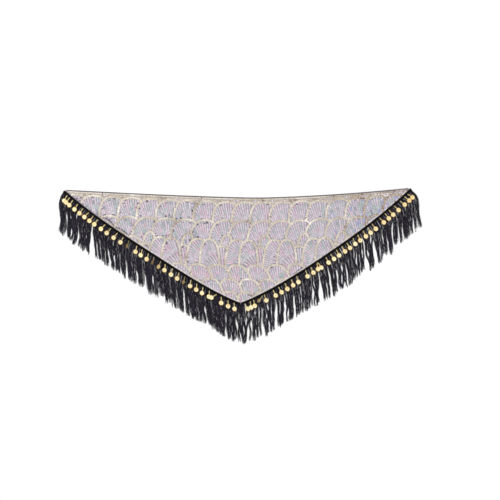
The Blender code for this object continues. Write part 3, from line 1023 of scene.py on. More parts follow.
def in_fan(fan, x, y):
    """True inside a fan, for numbers or for whole arrays of them."""
    up = (y - fan["foot"]) / fan["height"]
    across = abs(x - fan["middle"] - fan["lean"] * (y - fan["foot"])) / fan["half"]
    rounded = across ** FAN_SQUARENESS + abs(up) ** FAN_SQUARENESS < 1
    return rounded & (up >= 0) | (up < 0) & (up > -FAN_SKIRT) & (across < 1)


def fan_outline(fan, count=90):
    points = []
    for k in range(count + 1):
        turn = math.pi * (1 - k / count)
        across = math.copysign(abs(math.cos(turn)) ** (2 / FAN_SQUARENESS), math.cos(turn))
        up = math.sin(turn) ** (2 / FAN_SQUARENESS) * fan["height"]
        x = fan["middle"] + across * fan["half"] + fan["lean"] * up
        points.append(Vector((x, fan["foot"] + up)))
    return points


def from_seam(x, y):
    """Distance of a sequin from the braid's edge."""
    return (y - seam_y(x)) * SEQUIN_SEAM_SLOPE


def on_cloth(x, y, clear_of_hem, clear_of_seam):
    if not LEFT_CORNER.x < x < RIGHT_CORNER.x:
        return False
    return y < top_y(x) - clear_of_hem and from_seam(x, y) > clear_of_seam


def fold_inside(x):
    """How far inside the seam a fold runs, or 0 where there is none."""
    for first, last, inside in FOLDS:
        if first < x < last:
            return inside * math.sin(math.pi * (x - first) / (last - first)) ** FOLD_BLUNTNESS
    return 0.0


def runs_of(points, keep):
    """Splits a line of points into the unbroken runs that are kept."""
    runs, run = [], []
    for point in points:
        if keep(point):
            run.append(point)
            continue
        if len(run) > 1:
            runs.append(run)
        run = []
    if len(run) > 1:
        runs.append(run)
    return runs


def even_points(line, spacing):
    """A polyline's points at an even spacing."""
    out, left = [line[0]], spacing
    for a, b in pairwise(line):
        length = (b - a).length
        while left <= length:
            out.append(a.lerp(b, left / length))
            left += spacing
        left -= length
    return out


def visible_outlines(fans):
    lines = []
    for number, fan in enumerate(fans):
        later = fans[number + 1:]

        def shows(point, later=later):
            if not on_cloth(point.x, point.y, OUTLINES_FROM_HEM, FROM_SEAM):
                return False
            return not any(in_fan(other, point.x, point.y) for other in later)

        lines.extend(runs_of(even_points(fan_outline(fan), LINE_STEP), shows))
    return [line for line in lines if len(line) > SHORTEST_OUTLINE]


def fan_map(fans):
    """Which fan shows in each small cell of the cloth, or -1 for none."""
    low_x, high_x = LEFT_CORNER.x, RIGHT_CORNER.x
    low_y, high_y = LOWER_POINT.y - 0.02, RIGHT_CORNER.y + 0.01
    xs = np.arange(low_x, high_x, MAP_CELL) + MAP_CELL / 2
    ys = np.arange(low_y, high_y, MAP_CELL) + MAP_CELL / 2
    grid_x, grid_y = np.meshgrid(xs, ys)
    shown = np.full(grid_x.shape, -1)
    for number, fan in enumerate(fans):
        shown[in_fan(fan, grid_x, grid_y)] = number

    def fan_at(x, y):
        column = int((x - low_x) / MAP_CELL)
        row = int((y - low_y) / MAP_CELL)
        if 0 <= row < shown.shape[0] and 0 <= column < shown.shape[1]:
            return int(shown[row, column])
        return -1

    return fan_at


def beside(line, outwards):
    """A line moved sideways by a distance."""
    moved = []
    for k, point in enumerate(line):
        along = line[min(k + 1, len(line) - 1)] - line[max(k - 1, 0)]
        moved.append(point + Vector((-along.y, along.x)).normalized() * outwards)
    return moved


def point_tree(lines):
    points = [point for line in lines for point in line]
    tree = KDTree(len(points))
    for number, point in enumerate(points):
        tree.insert((point.x, point.y, 0.0), number)
    tree.balance()
    return tree


def rib_lines(fans, outlines):
    """Rows of sequins that run out from each fan's focus, clear of the outlines."""
    fan_at, near = fan_map(fans), point_tree(outlines)
    lines = []
    for number, fan in enumerate(fans):

        def kept(point, number=number):
            clear = max(FROM_SEAM, fold_inside(point.x) + RIBS_FROM_FOLD)
            if fan_at(point.x, point.y) != number:
                return False
            if not on_cloth(point.x, point.y, RIBS_FROM_HEM, clear):
                return False
            return near.find((point.x, point.y, 0.0))[2] > RIB_FROM_OUTLINE

        crown = Vector((fan["middle"] + fan["lean"] * fan["height"], fan["foot"] + fan["height"]))
        aim = crown - fan["focus"]
        heading = math.atan2(aim.y, aim.x)
        turn = RIB_PITCH / (aim.length * RIB_PITCH_AT)
        reach = aim.length + fan["height"]
        half_count = int(RIB_HALF_TURN / turn)
        for k in range(-half_count, half_count + 1):
            angle = heading + (k + 0.5) * turn
            out = Vector((math.cos(angle), math.sin(angle)))
            first = max(RIB_CLOSEST / turn * RIB_STARTS[k % 2], RIB_FIRST)
            count = int((reach - first) / LINE_STEP)
            ray = [fan["focus"] + out * (first + LINE_STEP * i) for i in range(count)]
            lines.extend(runs_of(ray, kept))
    return lines


def band_rows(fans, rows):
    """Rows along the hem, down to the first fans."""
    lines = []
    for row in rows:
        drop = BAND_DROP + BAND_PITCH * row
        last = RIGHT_CORNER.x - BAND_FROM_CORNER
        xs = np.arange(LEFT_CORNER.x + BAND_FROM_CORNER, last, ROW_STEP)
        points = [Vector((x, top_y(x) - drop)) for x in xs]

        def kept(point, row=row):
            if from_seam(point.x, point.y) < FROM_SEAM:
                return False
            above = point.y + BAND_INTO_FANS
            return row == 0 or not any(in_fan(fan, point.x, above) for fan in fans)

        lines.extend(runs_of(points, kept))
    return lines


def fold_rows(share):
    """A row along each fold, or nearer to the seam for a smaller share."""
    lines = []
    for first, last, _ in FOLDS:
        xs = np.arange(first + ROW_STEP, last - ROW_STEP, ROW_STEP)
        lines.append([
            Vector((x, seam_y(x) + fold_inside(x) * share / SEQUIN_SEAM_SLOPE)) for x in xs
        ])
    return lines


def edge_rows():
    """A row of pale, near-white sequins beside each braid: partly a pale row of the cloth and partly
    painted highlight along the braid. On the left, only beside its lower half.
    """
    lines = []
    for side in BOW:
        last = seam_length(side) - EDGE_ROW_FROM_POINT
        stations = np.arange(EDGE_ROW_FROM[side], last, ROW_STEP)
        lines.append([off_seam(side, station, -EDGE_ROW_INSIDE) for station in stations])
    return lines


def sequin_tree():
    """Overlapping cupped sequins along lines that lie on the cloth."""
    steps, given = geometry_tree("sequins along lines", {
        "Pitch": 0.0034,
        "Width": 0.0060,
        "Cup": 0.0005,
        "Sides": 10,
        "Shingle Tilt": 0.14,
        "Loose Tilt": 0.10,
        "Sideways": 0.0003,
        "Tint Spread": 0.06,
        "Seed": 1,
    })
    seed, loose = given["Seed"], given["Loose Tilt"]
    into = {"Curve": steps.curve(given["Geometry"]), "Length": given["Pitch"]}
    rows = steps.node("GeometryNodeCurveToPoints", into, mode="LENGTH")
    points, tangent = steps.out(rows, "Points"), steps.out(rows, "Tangent")
    up = steps.own("up", "FLOAT_VECTOR")
    align = "FunctionNodeAlignRotationToVector"
    facing = steps.step(align, {"Vector": up}, axis="Z", pivot_axis="AUTO")
    into = {"Rotation": facing, "Vector": tangent}
    lying = steps.step(align, into, axis="X", pivot_axis="Z")
    less = loose * -1.0
    lean = steps.chance(less, loose, seed + 1.0)
    shingled = given["Shingle Tilt"] + steps.chance(less, loose, seed + 2.0)
    spin = steps.chance(0.0, 6.28, seed + 3.0)
    spun = steps.turned(steps.turned(lying, lean, shingled, 0.0), 0.0, 0.0, spin)
    across = steps.vector("NORMALIZE", steps.vector("CROSS_PRODUCT", up, tangent))
    sideways = steps.chance(-1.0, 1.0, seed + 4.0) * given["Sideways"]
    points = steps.moved(points, steps.scaled(across, sideways))
    tint = steps.own("tint") + steps.chance(-1.0, 1.0, seed + 5.0) * given["Tint Spread"]
    speck = steps.chance(0.0, 1.0, seed + 6.0).math("LESS_THAN", steps.own("speck"))
    tint = (tint * (1.0 - speck)).clamped()
    sequin = steps.step("GeometryNodeMeshCone", {
        "Vertices": given["Sides"],
        "Radius Top": 0.0,
        "Radius Bottom": given["Width"] * 0.5,
        "Depth": given["Cup"],
    }, fill_type="TRIANGLE_FAN")
    laid = steps.instances(points, sequin, spun, steps.chance(0.92, 1.06, seed + 7.0))
    laid = steps.store(laid, "tint", tint, domain="INSTANCE")
    laid = steps.store(laid, "shade", steps.chance(0.0, 1.0, seed + 8.0), domain="INSTANCE")
    return close_tree(steps, laid, given["Material"])


def lay_sequins(name, lines, tree, finish, tint_of, speck_of, lift, values):
    """Sequins along flat lines, laid on the cloth's surface."""
    lift += NET_THICKNESS
    raised_and_lit = [[Vector((p.x, p.y, cloth_height(p.x, p.y) + lift)) for p in line] for line in lines]
    piece = lines_piece(name, raised_and_lit, (
        ("up", "FLOAT_VECTOR", lambda number, p: tuple(cloth_normal(p.x, p.y))),
        ("tint", "FLOAT", tint_of),
        ("speck", "FLOAT", speck_of),
    ))
    return run_tree(piece, tree, {"Material": finish, **values})


# Cloth and hem

def cloth_columns(count):
    """For each column its top point and its point on the cut edge, which lies under the braid."""
    columns = []
    for side in BOW:
        half = count // 2
        for k in range(half + (side == "left")):
            station = HEM_FROM_CORNER + (seam_length(side) - HEM_FROM_CORNER) * k / half
            seam = seam_at(side, station)[0]
            cut = off_seam(side, station, CLOTH_UNDER_BRAID)
            columns.append((Vector((seam.x, top_y(seam.x))), cut))
    return sorted(columns, key=lambda column: column[0].x)


def make_net(finish, columns=260, count=76):
    """The ground net with its ripples and creases, as one thin wall."""
    rows = []
    for k in range(count + 1):
        points = [top.lerp(cut, k / count) for top, cut in cloth_columns(columns)]
        rows.append([(p.x, p.y, cloth_height(p.x, p.y)) for p in points])
    return shell("net_panel", rows, NET_THICKNESS, finish)


def hem_line(spacing=0.004):
    points = []
    for x in np.arange(LEFT_CORNER.x + spacing, RIGHT_CORNER.x - HEM_FROM_CORNER, spacing):
        y = top_y(x)
        z = cloth_height(x, y) + HEM_THICKNESS / 2
        points.append(Vector((x, y + SEAM_GAP + HEM_WIDTH / 2, z)))
    return points


def stitched_hem_tree():
    """A rolled edge: a soft core with thread wound over it in slanting turns."""
    steps, given = geometry_tree("stitched hem", {
        "Width": 0.0022,
        "Thread": 0.0006,
        "Stitch Pitch": 0.0015,
    })
    curve = steps.curve(given["Geometry"])
    reach = given["Width"] * 0.42
    core = steps.store(steps.evened(curve, 0.006), "along", steps.along())
    core = steps.swept(core, steps.marked_ring(8, reach))
    length = steps.along()
    turn = length / given["Stitch Pitch"] * FULL_TURN
    round_core = steps.xyz(0.0, turn.math("SINE") * reach, turn.math("COSINE") * reach)
    wound = steps.moved(steps.evened(curve, given["Stitch Pitch"] / 6.0), round_core)
    wound = steps.store(wound, "along", length)
    thread = steps.swept(wound, steps.ring(4, given["Thread"] * 0.5))
    both = steps.node("GeometryNodeJoinGeometry")
    for part in (core, thread):
        steps.feed(both, {0: part})
    return close_tree(steps, steps.out(both), given["Material"])


# Braids

def plait_tree():
    """A flat plait: yarns that cross the band in turn, over and under each other."""
    steps, given = geometry_tree("flat plait", {
        "Yarns": 7,
        "Band Width": 0.0100,
        "Repeat": 0.026,
        "Yarn Width": 0.0029,
        "Yarn Height": 0.0011,
        "Weave Height": 0.00035,
        "Step": 0.0015,
    })
    curve = steps.evened(steps.curve(given["Geometry"]), given["Step"])
    curves, number = steps.repeated(curve, given["Yarns"])
    curves = steps.store(curves, "yarn", number)
    length = steps.along()
    angle = (length / given["Repeat"] + steps.own("yarn") / given["Yarns"]) * FULL_TURN
    swing = (given["Band Width"] - given["Yarn Width"]) * 0.5
    crossing = (angle * (given["Yarns"] - 1.0)).math("SINE") * given["Weave Height"]
    sideways = steps.scaled(steps.aside(), angle.math("SINE") * swing)
    woven = steps.moved(curves, steps.vector("ADD", sideways, steps.xyz(0.0, 0.0, crossing)))
    woven = steps.store(woven, "along", length)
    woven = steps.step("GeometryNodeSetCurveNormal", {"Curve": woven}, mode="Z_UP")
    flat = steps.xyz(given["Yarn Width"], given["Yarn Height"], 1.0)
    into = {"Geometry": steps.marked_ring(6, 0.5), "Scale": flat}
    mesh = steps.swept(woven, steps.step("GeometryNodeTransform", into))
    return close_tree(steps, steps.shaded(mesh), given["Material"])


def make_braid(side, tree, finish):
    """Plaited yarns over a thin tape, both laid over the cloth's lower edge."""
    stations = np.arange(-BRAID_PAST_CORNER, seam_length(side), PLAIT_STEP)
    middle = WALL + SEAM_GAP + BRAID_THICKNESS / 2 + PLAIT_LIFT
    line = [off_seam(side, station, BRAID_WIDTH / 2) for station in stations]
    plait = lines_piece(f"plait_{side}", [[Vector((p.x, p.y, middle)) for p in line]])
    run_tree(plait, tree, {"Material": finish})
    rows = []
    for share in TAPE_ROWS:
        row = (off_seam(side, station, BRAID_WIDTH * share) for station in stations)
        rows.append([(p.x, p.y, WALL + SEAM_GAP) for p in row])
    tape = shell(f"tape_{side}", rows, BRAID_THICKNESS * TAPE_SHARE, finish)
    return joined(f"plaited_braid_{side}", [plait, tape])


# Fringe

def clumps(side):
    """Strand numbers gathered into clumps, each with its own sway and length, as in the solids."""
    draw = random.Random(FRINGE_SEED[side])
    groups, first = [], 0
    while first < STRANDS_PER_SIDE:
        size = min(draw.choice(CLUMP_SIZES), STRANDS_PER_SIDE - first)
        sway = draw.uniform(-CLUMP_SWAY, CLUMP_SWAY)
        spread = draw.uniform(-STRAND_LENGTH_SPREAD, STRAND_LENGTH_SPREAD)
        groups.append((range(first, first + size), sway, spread))
        first += size
    return groups


def lock_paths(side):
    """The middle line of every lock, from under the braid to its tip, and a lock's share of the heading."""
    end = seam_length(side) - SEAM_GAP / 2
    cell = end / STRANDS_PER_SIDE
    draw = random.Random(FRINGE_SEED[side] + 1)
    loose = random.Random(FRINGE_SEED[side] + 2)
    paths = []
    for group, sway, spread in clumps(side):
        middle_x = off_seam(side, cell * (group[0] + group[-1] + 1) / 2, BRAID_WIDTH).x
        gathered = CLUMP_PULL * loose.uniform(*CLUMP_GATHER[side])
        shorter = abs(loose.gauss(0.0, CLUMP_SHORTER))
        turned = loose.gauss(0.0, CLUMP_TURN)
        wave = loose.gauss(0.0, CLUMP_WAVE)
        if STRANDS_PER_SIDE - 1 in group:
            gathered, turned = 0.0, POINT_TURN[side]
        for number in group:
            station = cell * (number + 0.5)
            root, outward = seam_at(side, station)
            own = draw.uniform(-STRAND_OWN_SPREAD, STRAND_OWN_SPREAD) * STRAND_LENGTH_SPREAD
            length = STRAND_LENGTH + spread + own - shorter + LOCK_LONGER
            point = root + outward * BRAID_WIDTH
            close = POINT_CLOSE * smooth(1 - (end - station) / POINT_CLOSE_REACH)
            point.x += (LOWER_POINT.x - point.x) * close
            pull = (middle_x - point.x) * gathered + loose.gauss(0.0, LOCK_STRAY)
            start = math.radians(from_table(ROOT_LEAN, root.x)) - math.pi / 2
            kick = math.radians(from_table(TIP_KICK, root.x))
            lean = from_table(FRINGE_LEAN, root.x) + turned + loose.gauss(0.0, LOCK_TURN)
            lean += from_table(HANG_BEFORE_KICK, root.x)
            hang = math.radians(lean) - math.pi / 2
            waves_here = loose.uniform(*WAVES_PER_LOCK)
            wave_here = wave + loose.gauss(0.0, LOCK_WAVE)
            back = Vector((math.cos(start), math.sin(start))) * LOCK_UNDER_BRAID
            path = [point - back]
            for k in range(LOCK_POINTS + 1):
                share = k / LOCK_POINTS
                swayed = pull + sway * math.sin(share * math.pi * CLUMP_SWAY_WAVE)
                waving = wave_here * math.sin(share * math.pi * 2 * waves_here)
                shift = swayed * smooth(share * SHIFT_RISE) + waving * smooth(share * WAVE_RISE)
                path.append(point + Vector((shift, 0.0)))
                heading = start + (hang - start) * smooth((share * length) / STRAND_BEND)
                heading += kick * smooth((share - KICK_FROM) / KICK_OVER)
                stride = length / LOCK_POINTS
                point = point + Vector((math.cos(heading), math.sin(heading))) * stride
            paths.append([Vector((p.x, p.y, 0.0)) for p in path])
    return paths, cell


def yarn_tree():
    """Each lock's middle line becomes several waving yarns that thin out towards their tips."""
    steps, given = geometry_tree("yarns of a lock", {
        "Yarns": 8,
        "Heading Share": 0.0078,
        "Tip Width": 0.88,
        "Width Spread": 0.32,
        "Thickness": 0.0011,
        "Lowest": 0.0010,
        "Highest": 0.0021,
        "Wave": 0.0022,
        "Wave Length": 0.022,
        "Ragged": 0.13,
        "Lock Ragged": 0.060,
        "Seed": 3,
    })
    seed, yarns, wave_length = given["Seed"], given["Yarns"], given["Wave Length"]
    curves, copy = steps.repeated(steps.curve(given["Geometry"]), yarns)
    curves = steps.store(curves, "yarn", copy, domain="CURVE")
    index = steps.step("GeometryNodeInputIndex")
    curves = steps.store(curves, "number", index, domain="CURVE")
    own = steps.own("number")
    lock = ((own + 0.5) / yarns).math("FLOOR")

    cut = steps.chance(0.0, 1.0, seed, own)
    cut = cut * cut * given["Ragged"] + steps.chance(0.0, given["Lock Ragged"], seed + 6.0, lock)
    into = {"Curve": curves, "End": 1.0 - cut}
    curves = steps.step("GeometryNodeTrimCurve", into, mode="FACTOR")
    into = {"Curve": curves, "Count": 20}
    curves = steps.step("GeometryNodeResampleCurve", into, mode="COUNT")
    share, length = steps.along("Factor"), steps.along()

    side = (steps.own("yarn") + 0.5) / yarns - 0.5 + steps.chance(-0.06, 0.06, seed + 1.0, own)
    narrow = steps.ranged(share, 0.05, 0.75, 1.0, given["Tip Width"], ease="SMOOTHSTEP")
    wide = steps.chance(-1.0, 1.0, seed + 7.0, lock) * given["Width Spread"] + 1.0
    width = given["Heading Share"] * steps.own("fullness") * wide * narrow

    # Odd factors lead every yarn and every lock through a place of its own in the noise
    phase = steps.xyz(length / wave_length, own * 7.31, seed * 1.7)
    lock_phase = steps.xyz(length / (wave_length * 1.8), lock * 3.17, seed * 2.9)
    free = steps.ranged(share, 0.04, 0.35, 0.0, 1.0, ease="SMOOTHSTEP")
    sway = (steps.noise(phase, 1.0, 1.0) - 0.5) + (steps.noise(lock_phase, 1.0, 0.0) - 0.5)
    sway = sway * free * (given["Wave"] * 3.0)

    level = steps.chance(given["Lowest"], given["Highest"], seed + 2.0, own)
    lift = steps.ranged(share, 0.5, 1.0, level, given["Lowest"])
    sideways = steps.scaled(steps.aside(), side * width + sway)
    laid = steps.moved(curves, steps.vector("ADD", sideways, steps.xyz(0.0, 0.0, lift)))
    laid = steps.store(laid, "along", length)
    # A few yarns get a painted highlight streak
    shine = steps.chance(0.0, 1.0, seed + 5.0, own).math("POWER", 3.0) * 0.75
    laid = steps.store(laid, "yarn_shade", shine)
    taper = steps.ranged(share, 0.85, 1.0, 1.0, 0.55)
    thick = taper * steps.chance(0.80, 1.10, seed + 4.0, own)
    mesh = steps.swept(laid, steps.marked_ring(4, given["Thickness"] * 0.5), Scale=thick)
    return close_tree(steps, steps.shaded(mesh), given["Material"])


def make_fringe(side, tree, finish):
    paths, cell = lock_paths(side)
    fullness = [from_table(LOCK_FULLNESS, path[0].x) for path in paths]
    piece = lines_piece(f"yarn_fringe_{side}", paths, (
        ("fullness", "FLOAT", lambda number, point: fullness[number]),
    ))
    return run_tree(piece, tree, {
        "Material": finish,
        "Yarns": YARNS_PER_LOCK[side],
        "Heading Share": cell,
        "Thickness": YARN_THICKNESS,
        "Seed": FRINGE_SEED[side],
    })


# Coins

def coin_stations(side):
    draw = random.Random(COIN_SEED)
    found = []
    for edge, first, count, pitch in COIN_RUNS:
        for k in range(count):
            nudge = draw.uniform(-COIN_NUDGE, COIN_NUDGE) if count > 2 else 0.0
            if edge == side:
                found.append(first + k * pitch + nudge)
    return sorted(found)


def plain_coin_corners():
    """Corners of the solids' coin and of its link's end, which say how the coin comes to lie."""
    disc, link = [], []
    for k in range(COIN_SIDES):
        turn = FULL_TURN * (k + 0.5) / COIN_SIDES
        for z in (0.0, COIN_THICKNESS):
            disc.append(Vector((COIN_RADIUS * math.cos(turn), COIN_RADIUS * math.sin(turn), z)))
    for x in (-LINK_WIDTH / 2, LINK_WIDTH / 2):
        for z in (0.0, COIN_THICKNESS):
            link.append(Vector((x, LINK_REACH, z)))
    return disc, link


def coin_pose(side, station, swing, roll, stacked):
    """Place and turn of a coin in the scarf: over the fringe, with its link over the braid."""
    seam, outward = seam_at(side, station)
    heading = math.radians(from_table(ROOT_LEAN, seam.x)) + swing
    slant = heading - math.atan2(outward.x, -outward.y)
    centre = seam + outward * (BRAID_WIDTH - LINK_ON_BRAID + LINK_REACH * math.cos(slant))
    on_braid = (LINK_ON_BRAID + LINK_WIDTH / 2 * abs(math.sin(slant))) / math.cos(slant)
    floor = STRAND_TOP + (COIN_THICKNESS - FUSED_DEPTH if stacked else 0.0)
    rolled = Matrix.Rotation(roll, 3, "Y")
    disc, link = ([rolled @ corner for corner in part] for part in plain_coin_corners())
    under_link = min(corner.z for corner in link)
    dip, height = 0.0, 0.0
    for _ in range(8):
        height = max(floor + SEAM_GAP - p.y * math.sin(dip) - p.z * math.cos(dip) for p in disc)
        rise = BRAID_TOP + SEAM_GAP - height - under_link * math.cos(dip)
        dip = math.asin(rise / (LINK_REACH - on_braid if rise > 0 else LINK_REACH))
    turn = Matrix.Rotation(heading, 3, "Z") @ Matrix.Rotation(dip, 3, "X") @ rolled
    return Vector((centre.x, centre.y, height)), turn.to_euler()


def coin_poses(side):
    draw = random.Random(COIN_SEED + len(side))
    turned = {row[1]: row[2:] for row in TURNED_COINS if row[0] == side}
    poses = []
    for number, station in enumerate(coin_stations(side), start=1):
        swing = draw.uniform(-COIN_SWING_SPREAD, COIN_SWING_SPREAD)
        roll = draw.uniform(-COIN_ROLL_SPREAD, COIN_ROLL_SPREAD)
        if number in turned:
            swing, roll = turned[number]
        stacked = number in STACKED_COINS[side]
        poses.append(coin_pose(side, station, math.radians(swing), math.radians(roll), stacked))
    return poses


def shape_object(name, points, faces, relief):
    """A small closed shape that is hung many times, with how pale each point is coloured."""
    piece = new_piece(name, points, faces)
    give_attribute(piece, "relief", "FLOAT", relief)
    bm = bmesh.new()
    bm.from_mesh(piece.data)
    turn_outwards(bm, piece)
    return piece


def coin_shape():
    """A stamped coin: rounded rim, a ring of beads, eight petals and a dimpled boss."""
    points, faces, relief = [], [], []
    for radius, height, raised_and_lit in COIN_PROFILE:
        for k in range(COIN_SEGMENTS):
            turn = FULL_TURN * k / COIN_SEGMENTS
            lift = 0.0
            for inner, outer, count, sharpness in COIN_STAMPS:
                if height > COIN_BACK and inner < radius < outer:
                    lift = STAMP_HEIGHT * (0.5 + 0.5 * math.cos(count * turn)) ** sharpness
            x, y, z = radius * math.cos(turn), radius * math.sin(turn), height + lift
            points.append((x / MILLIMETRE, y / MILLIMETRE, z / MILLIMETRE))
            relief.append(min(raised_and_lit + lift * STAMP_SHINE, 1.0))
    rings = len(COIN_PROFILE)

    def corners(ring, k):
        return ring * COIN_SEGMENTS + k, ring * COIN_SEGMENTS + (k + 1) % COIN_SEGMENTS

    for ring in range(rings - 1):
        for k in range(COIN_SEGMENTS):
            a, b = corners(ring, k)
            faces.append((a, a + COIN_SEGMENTS, b + COIN_SEGMENTS, b))
    for ring in (0, rings - 1):
        middle = len(points)
        points.append((0.0, 0.0, COIN_PROFILE[ring][1] / MILLIMETRE))
        relief.append(0.0)
        for k in range(COIN_SEGMENTS):
            a, b = corners(ring, k)
            faces.append((a, b, middle) if ring == 0 else (b, a, middle))
    return shape_object("coin_shape", points, faces, relief)


def wire(path, half_width, half_height, sides, closed):
    """Points and faces of a flattened wire along a path."""
    points, faces = [], []
    count = len(path)
    for k, point in enumerate(path):
        before = path[k - 1] if k or closed else path[k]
        after = path[(k + 1) % count] if k < count - 1 or closed else path[k]
        along = (after - before).normalized()
        across = Vector((along.y, -along.x, 0.0)).normalized()
        up = across.cross(along).normalized()
        for j in range(sides):
            turn = FULL_TURN * (j + 0.5) / sides
            wide = across * half_width * math.cos(turn)
            points.append(point + wide + up * half_height * math.sin(turn))
    for k in range(count if closed else count - 1):
        near, far = k * sides, (k + 1) % count * sides
        for j in range(sides):
            beside_j = (j + 1) % sides
            faces.append((near + j, near + beside_j, far + beside_j, far + j))
    if not closed:
        faces.append(tuple(reversed(range(sides))))
        faces.append(tuple(range((count - 1) * sides, count * sides)))
    return points, faces


def link_shape():
    """The gold link: a long flat shank, a round eye over the braid and a ring through the coin."""
    shank = []
    for k in range(SHANK_POINTS + 1):
        share = k / SHANK_POINTS
        z = SHANK_HEIGHT + SHANK_ARCH * math.sin(share * math.pi)
        x = SHANK_SWAY * math.sin(share * 6)
        shank.append(Vector((x, SHANK_FROM + SHANK_LENGTH * share, z)))
    wires = [(shank, *SHANK_WIRE)]
    for middle, half_width, half_length, z, count, wire_width, wire_height in LINK_RINGS:
        ring = []
        for k in range(count):
            turn = FULL_TURN * k / count
            y = middle + half_length * math.sin(turn)
            ring.append(Vector((half_width * math.cos(turn), y, z)))
        wires.append((ring, wire_width, wire_height, LINK_RING_SIDES, True))
    points, faces = [], []
    for values in wires:
        more, more_faces = wire(*values)
        first = len(points)
        points.extend(more)
        faces.extend(tuple(first + corner for corner in face) for face in more_faces)
    return shape_object("link_shape", points, faces, [LINK_RELIEF] * len(points))


def hanging_tree():
    """One shape on every point, turned as the point says. Those far out are a deeper gold."""
    steps, given = geometry_tree("hang at points", {
        "Shape": "Object",
        "Size Chance": 0.02,
        "Seed": 1,
    })
    shape = steps.step("GeometryNodeObjectInfo", {"Object": given["Shape"]}, out="Geometry")
    euler = steps.own("turn", "FLOAT_VECTOR")
    turn = steps.step("FunctionNodeEulerToRotation", {"Euler": euler})
    cloud = steps.step("GeometryNodeMeshToPoints", {"Mesh": given["Geometry"]})
    size = steps.chance(1.0 - given["Size Chance"], 1.0, given["Seed"])
    hung = steps.instances(cloud, shape, turn, size)
    place = steps.node("ShaderNodeSeparateXYZ", {0: steps.step("GeometryNodeInputPosition")})
    far_out = steps.ranged(steps.out(place, "X").math("ABSOLUTE"), 0.15, 0.55, 0.0, 1.0)
    deep = (far_out + steps.chance(-0.25, 0.25, given["Seed"] + 1.0)).clamped()
    hung = steps.store(hung, "deep_gold", deep, domain="INSTANCE")
    return close_tree(steps, hung, given["Material"])


def hang_shapes(name, poses, shape, tree, finish):
    piece = new_piece(name, [place for place, _ in poses])
    give_attribute(piece, "turn", "FLOAT_VECTOR", [tuple(turn) for _, turn in poses])
    return run_tree(piece, tree, {"Shape": shape, "Material": finish})


# Tints of the sequins

def mood_at(point):
    for mood, left, right, low, high in MOOD_PLACES:
        if left < point.x < right and low < point.y < high:
            return mood


def rib_tint_rule(lines):
    """Each rib changes tint from stretch to stretch, by the mood of its part of the cloth."""
    draw = random.Random(MOOD_SEED)
    tints = []
    for line in lines:
        length = sum((b - a).length for a, b in pairwise(line))
        mood = RIB_MOODS[mood_at(line[0])]
        stretches = int(length / RIB_STRETCH) + 2
        tints.append(draw.choices(list(mood), list(mood.values()), k=stretches))

    def tint(number, point):
        # Lines past the ribs are the rows along the folds, tinted dark as painted fold shadow
        if number >= len(lines):
            return FOLD_SHADOW_TINT
        run = (point.xy - lines[number][0]).length
        return tints[number][min(int(run / RIB_STRETCH), len(tints[number]) - 1)]

    return tint


def rib_speck_rule(lines):
    """Dark sequins at the ribs' ends: most in the upper left, a few at the right corner."""

    def speck(number, point):
        # Rows along the folds get many dark sequins, painted fold shadow
        if number >= len(lines):
            return FOLD_SHADOW_SPECKS
        ends = lines[number][0], lines[number][-1]
        at_end = min((point.xy - end).length for end in ends) < RIB_END
        for left, right, low, end_chance, other_chance in RIB_SPECKS:
            if left < point.x < right and point.y > low:
                return end_chance if at_end else other_chance

    return speck


def outline_tint(number, point):
    """Outlines run from cream to beige, browner at the right corner. Where the drift runs high they reach
    the palest stop, a painted highlight.
    """
    drift = noise.noise(Vector((point.x * 22, point.y * 22, 3.0)))
    return 0.57 + 0.52 * drift - 0.32 * smooth((point.x - 0.30) / 0.20)


def wedge_tint(point):
    """Rows under the hem are browner on the left and paler at the right corner. At their palest they reach
    the near-white stop, a painted sparkle.
    """
    drift = noise.noise(Vector((point.x * 30, point.y * 60, 9.0)))
    tint = 0.59 + 0.50 * drift - 0.12 * smooth((-0.25 - point.x) / 0.20)
    return tint + 0.16 * smooth((point.x - 0.44) / 0.08)


def more_specks(more):
    """A few dark sequins everywhere, and more of them on the right."""
    return lambda number, point: FEW_SPECKS + more * (point.x > BROWN_FROM)


def make_sequins(finishes):
    """The three pieces of sequins: ribs, outlines, and rows under the hem and beside the braids."""
    fans = lay_out_fans()
    outlines = visible_outlines(fans)
    band = band_rows(fans, (0,))
    wedges = band_rows(fans, (1, 2, 3))
    ribs = rib_lines(fans, outlines + band)
    double = [beside(line, aside) for line in outlines for aside in OUTLINE_ROWS] + band
    pale_from = len(wedges) + len(FOLDS)

    def row_tint(number, point):
        return wedge_tint(point) if number < pale_from else EDGE_ROW_PALE_AND_HIGHLIGHT_TINT

    tree = sequin_tree()
    return [lay_sequins(name, lines, tree, finishes[key], *rest) for name, lines, key, *rest in (
        # The rows along the folds go with the ribs, as dark sequins of painted fold shadow
        ("rib_sequins", ribs + fold_rows(1.0), "ribs",
         rib_tint_rule(ribs), rib_speck_rule(ribs), RIB_LIFT, RIB_SEQUIN),
        ("outline_sequins", double, "outlines",
         outline_tint, more_specks(OUTLINE_SPECKS), OUTLINE_LIFT, OUTLINE_SEQUIN),
        ("wedge_sequins", wedges + fold_rows(SECOND_FOLD_ROW) + edge_rows(), "wedges",
         row_tint, more_specks(WEDGE_SPECKS), RIB_LIFT, WEDGE_SEQUIN),
    )]


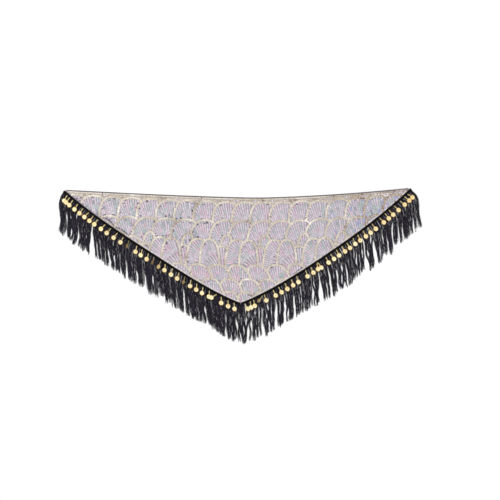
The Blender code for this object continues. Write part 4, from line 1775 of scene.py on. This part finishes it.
def dress():
    finishes = make_finishes()
    net = make_net(finishes["net"])
    rib_sequins, outline_sequins, wedge_sequins = make_sequins(finishes)
    hem = lines_piece("rolled_hem", [hem_line()])
    run_tree(hem, stitched_hem_tree(), {"Material": finishes["hem"]})

    plait, yarns = plait_tree(), yarn_tree()
    hanging = hanging_tree()
    coin, link = coin_shape(), link_shape()
    trims = []
    for side in BOW:
        braid = make_braid(side, plait, finishes["braid"])
        hang_on_part(braid, "black_braid", f"braid_{side}")
        fringe = make_fringe(side, yarns, finishes["fringe"])
        hang_on_part(fringe, "black_fringe", f"fringe_{side}")
        poses = coin_poses(side)
        nodes = [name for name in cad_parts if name.startswith(f"coin_{side}")]
        coins = hang_shapes(f"coins_{side}", poses, coin, hanging, finishes["coin"])
        hang_on_part(coins, "gold_coin", *nodes)
        links = hang_shapes(f"links_{side}", poses, link, hanging, finishes["link"])
        hang_on_part(links, "gold_coin")
        trims += [braid, fringe]
    for shape in (coin, link):
        bpy.data.objects.remove(shape, do_unlink=True)

    hang_on_part(net, "sequin_net", "cloth")
    for sequins in (rib_sequins, outline_sequins, wedge_sequins):
        hang_on_part(sequins, "sequin_net")
    hang_on_part(hem, "black_hem", "top_hem")


# Floor, lights and camera

FLOOR_HALF = 6.0
FLOOR_BELOW = -0.0002
SKY_STRENGTH = 0.84
LIGHTS = (
    # name, place, size, power
    ("key_light", (-1.6, 1.8, 2.6), 2.2, 48.0),
    ("fill_light", (2.0, -1.4, 2.4), 2.6, 26.0),
)
LENS = 150.0
SENSOR = 36.0
VIEW_MIDDLE = (0.0336, 0.059)
VIEW_WIDTH = 1.823


def set_stage():
    """Pale floor, soft light from above and a long lens straight over the scarf."""
    finish, steps, shader = new_finish("pale_floor", Roughness=0.9)
    grain = steps.noise(steps.place(), 3.0, 2.0)
    colour = colour_ramp(steps, grain, ((0.3, (0.86, 0.86, 0.86)), (0.7, (0.90, 0.90, 0.90))))
    steps.feed(shader, {"Base Color": colour})
    turns = ((-1, -1), (1, -1), (1, 1), (-1, 1))
    corners = [(FLOOR_HALF * x, FLOOR_HALF * y, FLOOR_BELOW) for x, y in turns]
    floor = new_piece("floor", corners, [(0, 1, 2, 3)], finish=finish)

    scene = bpy.context.scene
    world = bpy.data.worlds.new("studio")
    scene.world = world
    world.use_nodes = True
    sky = world.node_tree.nodes["Background"]
    sky.inputs["Color"].default_value = WHITE
    sky.inputs["Strength"].default_value = SKY_STRENGTH
    for name, place, size, power in LIGHTS:
        lamp = bpy.data.lights.new(name, "AREA")
        lamp.size = size
        lamp.energy = power
        holder = bpy.data.objects.new(name, lamp)
        holder.location = place
        holder.rotation_euler = (-Vector(place)).to_track_quat("-Z", "Y").to_euler()
        scene.collection.objects.link(holder)

    lens = bpy.data.cameras.new("camera")
    lens.lens = LENS
    lens.sensor_width = SENSOR
    lens.clip_end = 50.0
    camera = bpy.data.objects.new("camera", lens)
    camera.location = (*VIEW_MIDDLE, VIEW_WIDTH * LENS / SENSOR)
    scene.collection.objects.link(camera)
    scene.camera = camera
    scene.view_settings.view_transform = "Standard"


dress()
set_stage()
